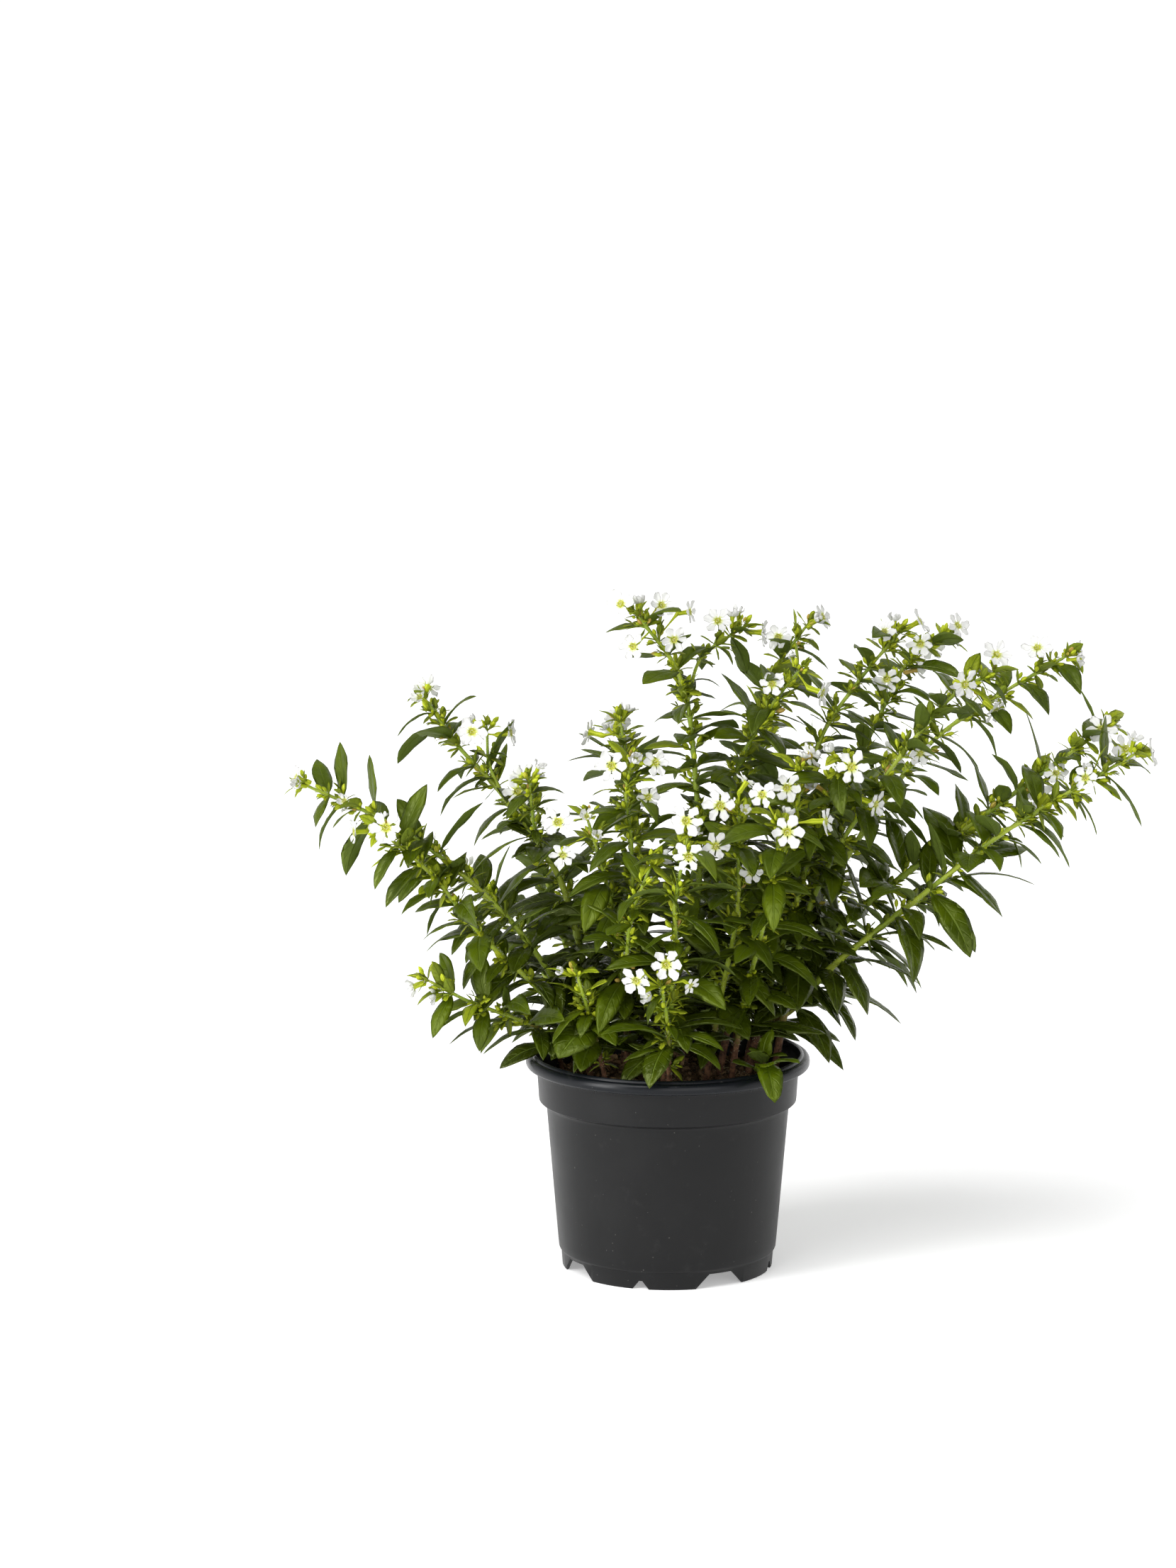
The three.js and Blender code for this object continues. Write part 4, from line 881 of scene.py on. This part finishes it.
def turned(frame_here, turn, lean):
    """The frame of a side shoot that leaves the stem towards turn."""
    place, along, across, over = frame_here
    outward, heading = leaning(along, across, over, turn, lean)
    heading = unit(heading)
    sideways = unit(np.cross(heading, (0, 1, 0.1)))
    return place + outward * 0.5, heading, sideways, np.cross(heading, sideways)


tufts = {name: [] for name in names}
for shoot in SHOOTS:
    if shoot.name == SPRIG:
        continue
    draw = drawer(9000 + 53 * shoot.number)
    shoot.pairs += fill_in(shoot)
    for distance, turn in sorted(shoot.pairs):
        share = distance / shoot.length
        if share > 0.3 and distance < shoot.length - 5:
            for half in (0, 180):
                if draw() < mix(0.3, 1.0, share):
                    heading = turn + half + 30 * (draw() - 0.5)
                    side = turned(shoot.frame(share), heading, mix(48, 30, draw()))
                    tuft(shoot.name, side, mix(*TUFT_LENGTH, draw()), mix(*TUFT_LEAF, draw()), draw,
                         mix(0.8, 1, share))
    tuft(shoot.name, shoot.frame(0.999), 3, 8, draw, 0.95)


# The stalks. Each is a tapering stem, a little swollen at every pair of leaves, with a peeling
# reddish bark low down and fine white bristles on its green part.
HAIRS_PER_MM = 4.5
HAIR_LENGTH = (0.5, 1.3)
STALK_SIDES = 8
STALK_STEP = 2.2
STALK_GIRTH = (0.88, 0.76)
SWELLING = 0.25
SWELLING_REACH = 1.1
BARK_TOP = 84
BARK_FADE = 46


def thickness(shoot, share):
    walked = share * shoot.length
    swelling = sum(np.exp(-((walked - node) / SWELLING_REACH) ** 2) for node, _ in shoot.pairs)
    girth = mix(*STALK_GIRTH, share) * mix(*shoot.girth, share)
    return girth * (1 + SWELLING * np.minimum(swelling, 1))


def woodiness(shoot, place):
    height = np.clip((place[..., 2] - BARK_TOP) / BARK_FADE, 0, 1)
    return (1 - height) * (1.0 if shoot.girth[0] > 1.0 else 0.4)


def add_bristles(skin, roots, outward, along, chance):
    """Fine spikes, each of three sides and a base."""
    count = len(roots)
    lean = unit(outward + along * chance.uniform(-0.1, 0.9, (count, 1)))
    tips = roots + lean * chance.uniform(*HAIR_LENGTH, (count, 1))
    aside = np.cross(lean, along) * 0.1
    foot = roots - outward * 0.1
    points = np.stack([foot + aside, foot - aside, foot + along * 0.12, tips], 1)
    corner = np.arange(count)[:, None] * 4
    faces = np.concatenate([corner + side for side in ((0, 1, 3), (1, 2, 3), (2, 0, 3), (0, 2, 1))])
    skin.add(points, faces, (0, 0, -1))


def add_stalk(skin, shoot):
    share = np.linspace(0, 1, max(6, int(shoot.length / STALK_STEP)))
    place, _, across, over = shoot.frame(share)
    radius = thickness(shoot, share)
    radius[-1] *= 0.5
    mark = np.zeros((len(share), STALK_SIDES, 3))
    mark[..., 2] = woodiness(shoot, place)[:, None]
    add_rings(skin, rings_about(place, across, over, radius, STALK_SIDES), mark)
    chance = np.random.default_rng(300 + shoot.number)
    hairs = int(shoot.length * HAIRS_PER_MM)
    share = chance.uniform(0.02, 1, hairs)
    place, along, across, over = shoot.frame(share)
    hairy = chance.uniform(0, 1, hairs) > woodiness(shoot, place) * 0.9
    place, along, across, over, share = (part[hairy] for part in (place, along, across, over, share))
    turn = chance.uniform(0, 2 * np.pi, (len(place), 1))
    outward = across * np.cos(turn) + over * np.sin(turn)
    roots = place + outward * thickness(shoot, share)[:, None]
    add_bristles(skin, roots, outward, along, chance)


def stalk_look():
    """Reddish-brown flaking bark, then green skin with a warm blush, and white bristles."""
    look = Look("stalk")
    wood = look.mark()[2]
    bristle = wood.ramp(-0.6, -0.3, 1, 0)
    flake = look.noise(420, 6, 0.65)
    blush = look.noise(60, 3)
    bark = flake.ramp(0.35, 0.7).mix((0.062, 0.026, 0.013), (0.25, 0.125, 0.062))
    skin = blush.ramp(0.35, 0.7).mix((0.200, 0.285, 0.014), (0.330, 0.395, 0.030))
    body = (wood + (flake - 0.5) * 0.8).ramp(0.25, 0.75).mix(skin, bark)
    body = bristle.mix(body, (0.74, 0.80, 0.56))
    return look.surface(body, wood.ramp(0, 1, 0.5, 0.8), look.bump(flake, 0.0006, 0.6), 0.4)


stalk_skin = stalk_look()
for name in names:
    skin = Skin()
    for shoot in shoots[name]:
        add_stalk(skin, shoot)
    for start, end in tufts[name]:
        add_tube(skin, np.linspace(start - (end - start) * 0.15, end, 3), np.array([0.5, 0.42, 0.3]), 5)
    stalk = skin.make("stalk_" + name, stalk_skin)
    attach(stalk, "root")
    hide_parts("stem_" + name)


# The leaves. Each is a lanceolate blade on a short pale stalk, glossy and dark above, paler
# below, folded along its midrib and arched over. Young ones are yellow-green.
GRIDS = [
    (20, [0, 0.06, 0.12, 0.2, 0.31, 0.44, 0.57, 0.70, 0.82, 0.92, 1.0], [-1, -0.62, -0.2, 0, 0.2, 0.62, 1]),
    (10.5, [0, 0.08, 0.18, 0.34, 0.52, 0.70, 0.87, 1.0], [-1, -0.5, 0, 0.5, 1]),
    (0, [0, 0.18, 0.42, 0.66, 0.86, 1.0], [-1, 0, 1]),
]


def add_leaf(skin, leaf, draw):
    size = leaf.size()
    share, across = next((np.array(rows), np.array(columns)) for least, rows, columns in GRIDS
                         if size > least)
    line = leaf.line(share)
    along = unit(np.gradient(line, axis=0))
    side = unit(np.cross(along, leaf.face))
    normal = np.cross(side, along)
    sweep, twist, phase = 0.06 * (draw() - 0.5), 0.9 * (draw() - 0.5), 6.3 * draw()
    line = line + side * (size * sweep * np.sin(np.pi * share))[:, None]
    turn = (twist * share)[:, None]
    side, normal = side * np.cos(turn) + normal * np.sin(turn), normal * np.cos(turn) - side * np.sin(turn)
    blade = np.clip((share - 0.07) / 0.93, 0, 1) ** 0.87
    outline = (4 * blade * (1 - blade)) ** mix(0.76, 0.5, leaf.rounded)
    outline = outline * (1 - mix(0.25, 0, leaf.rounded) * np.clip((blade - 0.7) / 0.3, 0, 1))
    half = np.maximum(leaf.width / 2 * outline, mix(0.5, 0.06, share) * min(1, 0.3 + size / 40))[:, None]
    aside = across * half
    part = np.abs(across)
    fold = 0.42 * draw() + 0.14
    rise = half * (fold * part - 0.30 * part ** 2)
    rise = rise + 0.07 * half * part ** 2 * np.sin(phase + share[:, None] * 13 + 2.2 * (across > 0))
    rise = rise - size * 0.035 * (share[:, None] ** 3)
    top = line[:, None] + side[:, None] * aside[..., None] + normal[:, None] * rise[..., None]
    vein = np.exp(-(across / 0.13) ** 2) * (1.05 - share[:, None])
    depth = min(1.0, 0.3 + size / 40) * (0.22 + 0.5 * vein)
    tone = np.clip(leaf.tone + 0.24 * (draw() - 0.5), 0, 1)
    mark = np.stack(np.broadcast_arrays(part, share[:, None], tone), -1)
    under = np.stack(np.broadcast_arrays(2 - part, share[:, None], tone), -1)
    add_sheet(skin, top, normal[:, None], depth, mark, under)


def leaf_look():
    """Old leaves dark and glossy, young ones bright; a pale midrib, faint veins, pale below."""
    look = Look("leaf_blade")
    reach, share, tone = look.mark()
    under = reach.ramp(0.98, 1.06)
    across = 1 - abs(1 - reach)
    cloud = look.noise(75, 3).ramp(0.3, 0.7)
    old = cloud.mix((0.016, 0.024, 0.001), (0.040, 0.056, 0.002))
    grown = cloud.mix((0.044, 0.067, 0.0012), (0.100, 0.142, 0.0025))
    young = cloud.mix((0.370, 0.460, 0.010), (0.560, 0.620, 0.030))
    top = tone.ramp(0.2, 0.75).mix(old, grown)
    top = tone.ramp(0.68, 0.98).mix(top, young)
    streak = look.noise(130, 4)
    ribs = (share * 40 - across * 9 + streak * 3).sine().ramp(0.75, 1.0) * across.ramp(0.02, 0.2)
    midrib = across.ramp(0.03, 0.10, 1, 0)
    top = (ribs * 0.05 + midrib * 0.45).mix(top, (0.17, 0.24, 0.03))
    base = share.ramp(0.03, 0.14, 1, 0)
    top = (base * 0.6).mix(top, (0.22, 0.32, 0.06))
    below = (under * 0.5).mix(top, (0.150, 0.205, 0.045))
    height = (1 - midrib) * 0.8 + (1 - ribs) * 0.22 + streak * 1.5 + look.noise(420, 2) * 0.25
    roughness = under * 0.25 + tone.ramp(0.2, 0.9, 0.20, 0.34) + streak.ramp(0.4, 0.6, 0, 0.1)
    return look.surface(below, roughness, look.bump(height, 0.0008, 0.9), 0.62, (0.36, 0.46, 0.006),
                        tone.ramp(0.1, 0.9, 0.14, 0.42), (0.88, 1.0, 0.42))


leaf_blade = leaf_look()
for number, name in enumerate(names):
    draw = drawer(400 + 17 * number)
    skin = Skin()
    for leaf in leaves[name]:
        add_leaf(skin, leaf, draw)
    foliage = skin.make("foliage_" + name, leaf_blade)
    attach(foliage, "root")
    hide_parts("stem_" + name)


# The calyxes and buds. A flower's calyx is a yellow-green tube with six ribs on a short stalk,
# swollen a little near its heel and flared at its mouth. The buds are small closed ones, packed
# in knots in the upper axils and at the tips.
CALYX_LENGTH = 7.0
CALYX_SIDES = 12
CALYX_RIBS = 6
BUD_SIDES = 6
BUD_SIZE = (0.48, 0.95)
BUD_SHAPE = [(0, 0.28), (1.2, 0.3), (1.9, 0.85), (3.1, 1.2), (4.4, 1.0), (5.2, 0.5), (5.7, 0.08)]


def facing(turn, tilt):
    turn, tilt = math.radians(turn), math.radians(tilt)
    return np.array([math.sin(turn) * math.cos(tilt), -math.cos(turn) * math.cos(tilt), math.sin(tilt)])


def add_lathe(skin, path, along, radius, sides, inner, ripe):
    """A ribbed tube round a path. Its marks are the rib, the depth down the throat, and age."""
    aside = unit(np.cross(along, (0.1, 0.2, 0.97)))
    rib = np.arange(sides) * CALYX_RIBS / sides
    mark = np.stack(np.broadcast_arrays(rib, inner[:, None], ripe), -1)
    add_rings(skin, rings_about(path, aside, np.cross(along, aside), radius, sides), mark)


def add_bud(skin, foot, heading, size, ripe):
    shape = np.array(BUD_SHAPE) * size
    along = np.tile(heading, (len(shape), 1))
    add_lathe(skin, foot + along * shape[:, :1], along, shape[:, 1], BUD_SIDES, np.zeros(len(shape)), ripe)


def add_calyx(skin, axil, mouth, heading, size, ripe):
    """A tube from the stem's axil through its heel to its open mouth, and down its throat."""
    heel = mouth - heading * CALYX_LENGTH * size
    path = [mix(axil, heel, share) for share in (0, 0.3, 0.6, 0.85)]
    path += [mix(heel, mouth, share) for share in (0.0, 0.15, 0.35, 0.6, 0.85, 1.0)]
    path += [mouth + heading * size * rise for rise in (0.22, 0.12, -0.3, -1.0, -1.2)]
    radius = np.array([0.4, 0.4, 0.42, 0.7, 1.2, 1.35, 1.2, 1.2, 1.45, 1.66, 1.7, 1.4, 1.22, 0.8, 0.1])
    along = unit(np.gradient(np.array(path), axis=0))
    along[8:] = heading
    inner = np.array([0.0] * 10 + [0.3, 1, 1, 1, 1])
    add_lathe(skin, np.array(path), along, radius * size, CALYX_SIDES, inner, ripe)


class Bloom:
    """A flower: the middle of its mouth, the way it faces, its size and how far it is open."""

    def __init__(self, centre, heading, size, is_open=1.0):
        self.centre, self.heading, self.size, self.is_open = np.asarray(centre), heading, size, is_open


def blooms_at(places):
    return [Bloom(place, facing(turn, tilt), size) for *place, turn, tilt, size in places]


def half_open(shoot):
    """The crumpled flowers that are about to open, or have gone over, near the shoot's tip."""
    draw = drawer(6000 + 71 * shoot.number)
    found = []
    for share in (0.985, 0.88):
        if draw() < 0.5 and shoot.name != SPRIG:
            place, heading, _, _ = turned(shoot.frame(share), 360 * draw(), mix(25, 60, draw()))
            found.append(Bloom(place + heading * 7, heading, mix(0.5, 0.75, draw()), mix(0.1, 0.6, draw())))
    return found


def knot(skin, frame_here, turn, spread, count, draw):
    """A cluster of buds on threads that leave the stem in one place."""
    for _ in range(count):
        place, heading, _, _ = turned(frame_here, turn + spread * (draw() - 0.5), mix(8, 65, draw()))
        size = mix(*BUD_SIZE, draw())
        foot = place + heading * mix(0.2, 3.0, draw())
        add_bud(skin, foot, unit(heading + facing(360 * draw(), 20) * 0.3), size, draw())


def calyx_look():
    """Yellow-green with darker ribs; a few have ripened to orange; greener down the throat."""
    look = Look("calyx")
    rib, inner, ripe = look.mark()
    cloud = look.noise(160, 3)
    stripe = (rib * (2 * math.pi)).sine().ramp(-0.4, 0.9)
    lime = (stripe * 0.7 + cloud.ramp(0.35, 0.7) * 0.3).mix((0.40, 0.51, 0.010), (0.70, 0.74, 0.045))
    orange = stripe.mix((0.56, 0.33, 0.06), (0.68, 0.50, 0.15))
    outside = ripe.ramp(0.90, 0.96).mix(lime, orange)
    tint = inner.mix(outside, (0.78, 0.76, 0.10))
    return look.surface(tint, 0.45, look.bump(stripe, 0.0002, 0.6), 0.3, (0.62, 0.70, 0.03), 0.3)


calyx_skin = calyx_look()
late = {name: [] for name in names}
for shoot in SHOOTS:
    late[shoot.name] += half_open(shoot)
for number, name in enumerate(names):
    draw = drawer(700 + 29 * number)
    skin = Skin()
    spine = np.concatenate([shoot.frame(np.linspace(0, 1, 101))[0] for shoot in shoots[name]])
    blooms = [bloom for shoot in shoots[name] for bloom in blooms_at([*shoot.blooms, *shoot.far])]
    for bloom in blooms + late[name]:
        heel = bloom.centre - bloom.heading * CALYX_LENGTH * bloom.size
        axil = spine[np.argmin(np.linalg.norm(spine - heel, axis=1))]
        add_calyx(skin, axil, bloom.centre, bloom.heading, bloom.size, draw())
    for shoot in shoots[name]:
        if name != SPRIG:
            for distance, turn in shoot.pairs:
                share = distance / shoot.length
                for half in (0, 180):
                    if share > 0.4 and draw() < mix(0.3, 1.0, share):
                        knot(skin, shoot.frame(share), turn + half, 80, 2 + (draw() < 0.3), draw)
            knot(skin, shoot.frame(0.995), 0, 360, 5 + int(4 * draw()), draw)
    if skin.count:
        buds = skin.make("buds_" + name, calyx_skin)
        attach(buds, "root")
        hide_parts("stem_" + name)


# The corollas. Six thin white petals, narrow at the claw and broad and crinkled at the end,
# stand on the mouth of the calyx, the upper two apart. Short stamens show in the throat.
PETAL_ANGLES = (33, 90, 148, 212, 270, 327)
PETAL_REACH = 7.0
PETAL_CLAW = 1.35
PETAL_HALF_WIDTH = (1.55, 2.2)
PETAL_THICKNESS = 0.13
STAMENS = 7
STAMEN_HEAD = (0.2, 0.2, 0.26)
bead_points, bead_faces = unit_ball(1)


def add_corolla(skin, bloom, draw):
    centre, heading, size = bloom.centre, bloom.heading, bloom.size
    right = -unit(np.cross(heading, (0, 0, 1)))
    basis = np.array([right, np.cross(heading, right), heading])
    share, across = np.meshgrid(np.array([0, 0.1, 0.24, 0.42, 0.6, 0.75, 0.87, 0.95, 1.0]),
                                np.array([-1, -0.72, -0.36, 0, 0.36, 0.72, 1]), indexing="ij")
    for angle in PETAL_ANGLES:
        turn = math.radians(angle + 15 * (draw() - 0.5))
        out = (PETAL_REACH * mix(0.86, 1.07, draw()) - PETAL_CLAW) * share
        widest, lean, phase = mix(*PETAL_HALF_WIDTH, draw()), mix(-0.10, 0.22, draw()), 6.3 * draw()
        skew, crumple = 0.5 * (draw() - 0.5), mix(0.55, 0.22, bloom.is_open) + 0.16 * draw()
        spread = np.clip((share - 0.02) / 0.62, 0, 1)
        half = 0.5 + (widest - 0.5) * spread * (1.6 - 0.6 * spread)
        half = half * np.sqrt(np.clip(1 - (np.clip(share - 0.66, 0, 1) / 0.352) ** 2, 0, 1))
        half = half * (1 + 0.2 * np.sin(phase * 5 + share * 11 + 2.5 * (across > 0)))
        out = out - 0.3 * across ** 2 * share
        bend = np.radians((1 - bloom.is_open) * mix(50, 85, draw())) * (0.45 + 0.55 * share) + lean * share
        ruffle = crumple * share * np.sin(phase + across * 3.1 + share * 4)
        ruffle = ruffle + 0.7 * crumple * share ** 2 * np.sin(phase * 3 + across * 6.5 - share * 5)
        ruffle = ruffle + 0.35 + 0.012 * out ** 2 - 0.14 * half * (1 - across ** 2)
        reach = PETAL_CLAW + out * np.cos(bend) - ruffle * np.sin(bend)
        rise = out * np.sin(bend) + ruffle * np.cos(bend)
        aside = across * half + skew * out * share * 0.5
        flat = np.stack([-math.sin(turn) * reach - math.cos(turn) * aside,
                         math.cos(turn) * reach - math.sin(turn) * aside, rise], -1)
        mark = np.stack([np.abs(across), share, np.full_like(share, draw())], -1)
        add_sheet(skin, centre + flat * size @ basis, heading, PETAL_THICKNESS, mark)
    for i in range(STAMENS):
        turn, out = 2 * math.pi * (i + 0.5 * draw()) / STAMENS, mix(0.5, 0.95, draw())
        foot = np.array([0.6 * math.cos(turn), 0.6 * math.sin(turn), -1.6])
        head = np.array([out * math.cos(turn), out * math.sin(turn), mix(0.1, 1.0, draw())])
        add_tube(skin, centre + np.linspace(foot, head, 3) * size @ basis, 0.07 * size, 4, (0, 0, 0), 1)
        bead = head + bead_points * STAMEN_HEAD
        skin.add(centre + bead * size @ basis, bead_faces, (1, 0, 0), 1)


def petal_look():
    """Thin white tissue, faintly veined, with a breath of green at the claw."""
    look = Look("petal")
    across, share, _ = look.mark()
    tissue = look.noise(500, 3)
    vein = (across * 11).sine().ramp(0.5, 1.0) * share.ramp(0.1, 0.4)
    white = (vein * 0.10 + tissue.ramp(0.4, 0.7) * 0.06).mix((0.84, 0.84, 0.825), (0.70, 0.71, 0.68))
    tint = share.ramp(0.04, 0.30, 0.9, 0).mix(white, (0.62, 0.68, 0.14))
    return look.surface(tint, 0.6, look.bump(tissue + vein, 0.0002, 0.5), 0.2, (0.88, 0.89, 0.86), 0.3)


def stamen_look():
    """Pale green threads with cream heads."""
    look = Look("stamen")
    head = look.mark()[0]
    tint = head.mix((0.42, 0.52, 0.16), (0.62, 0.60, 0.34))
    return look.surface(tint, 0.6, look.bump(look.noise(900, 2), 0.0001, 0.3), 0.3)


petal, stamen = petal_look(), stamen_look()


def place_corollas(piece_name, blooms, node):
    skin = Skin()
    for bloom in blooms:
        add_corolla(skin, bloom, draw)
    piece = skin.make(piece_name, petal, stamen)
    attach(piece, "root")
    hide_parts(node)


draw = drawer(4242)
for name in names:
    for shoot in shoots[name]:
        for letter, bloom in zip("abc", blooms_at(shoot.blooms)):
            place_corollas(f"corolla_{name}_{letter}", [bloom], f"bloom_{name}_{letter}")
    far = [bloom for shoot in shoots[name] for bloom in blooms_at(shoot.far)] + late[name]
    if far:
        place_corollas("corollas_" + name, far, "stem_" + name)


# The studio. A wide pale floor, soft suns from above the front left, from the front and from
# behind, a tall lamp at the left that draws a sheen down the pot, a sky that is white low down
# and grey above, and a camera at the picture's angle.
FLOOR_REACH = 14.0
MIDDLE_OF_PLANT = Vector((0, 0, 0.12))
CAMERA_PLACE = Vector((-0.0337, -2.0, 0.5425))
CAMERA_TILT = 80.46
CAMERA_LENS = 111.3


def make_floor():
    points = [(*around(FLOOR_REACH, turn), 0) for turn in np.radians(np.arange(0, 360, 5))]
    mesh = bpy.data.meshes.new("floor")
    mesh.from_pydata(points, [], [list(range(len(points)))])
    look = Look("floor")
    paper = look.node("ShaderNodeBsdfPrincipled", None, {
        "Base Color": (0.94, 0.94, 0.94), "Roughness": 0.9, "Specular IOR Level": 0.1,
        "Emission Color": (1, 1, 1), "Emission Strength": 0.32})
    look.node("ShaderNodeOutputMaterial", None, {0: paper})
    mesh.materials.append(look.owner)
    floor = bpy.data.objects.new("floor", mesh)
    bpy.context.scene.collection.objects.link(floor)


def add_lamp(name, kind, place, energy, sizes):
    lamp = bpy.data.lights.new(name, kind)
    lamp.energy = energy
    for key, value in sizes.items():
        setattr(lamp, key, value)
    holder = bpy.data.objects.new(name, lamp)
    holder.location = place
    holder.rotation_euler = (MIDDLE_OF_PLANT - Vector(place)).to_track_quat("-Z", "Y").to_euler()
    bpy.context.scene.collection.objects.link(holder)


def make_sky():
    sky = Look("sky", bpy.data.worlds)
    way = sky.node("ShaderNodeTexCoord", output="Generated")
    height = sky.node("ShaderNodeSeparateXYZ", None, {0: way}, "Z")
    fade = sky.node("ShaderNodeMapRange", None, {
        "Value": height, "From Min": 0.12, "From Max": 0.45, "To Min": 1.05, "To Max": 0.24})
    light = sky.node("ShaderNodeBackground", None, {"Color": (1, 1, 1), "Strength": fade})
    sky.node("ShaderNodeOutputWorld", None, {0: light})
    bpy.context.scene.world = sky.owner


make_floor()
add_lamp("sun", "SUN", (-0.45, -0.5, 1.25), 1.9, {"angle": math.radians(45)})
add_lamp("front", "SUN", (0.30, -1.0, 0.40), 1.0, {"angle": math.radians(50)})
add_lamp("back", "SUN", (0.55, 0.9, 0.80), 0.45, {"angle": math.radians(60)})
add_lamp("left", "AREA", (-0.95, -0.68, 0.42), 10, {"shape": "RECTANGLE", "size": 0.4, "size_y": 0.8})
make_sky()
bpy.context.scene.view_settings.view_transform = "Standard"

view = bpy.data.cameras.new("camera")
view.lens = CAMERA_LENS
camera = bpy.data.objects.new("camera", view)
camera.location = Vector(AXIS) + CAMERA_PLACE
camera.rotation_euler = (math.radians(CAMERA_TILT), 0, 0)
bpy.context.scene.collection.objects.link(camera)
bpy.context.scene.camera = camera
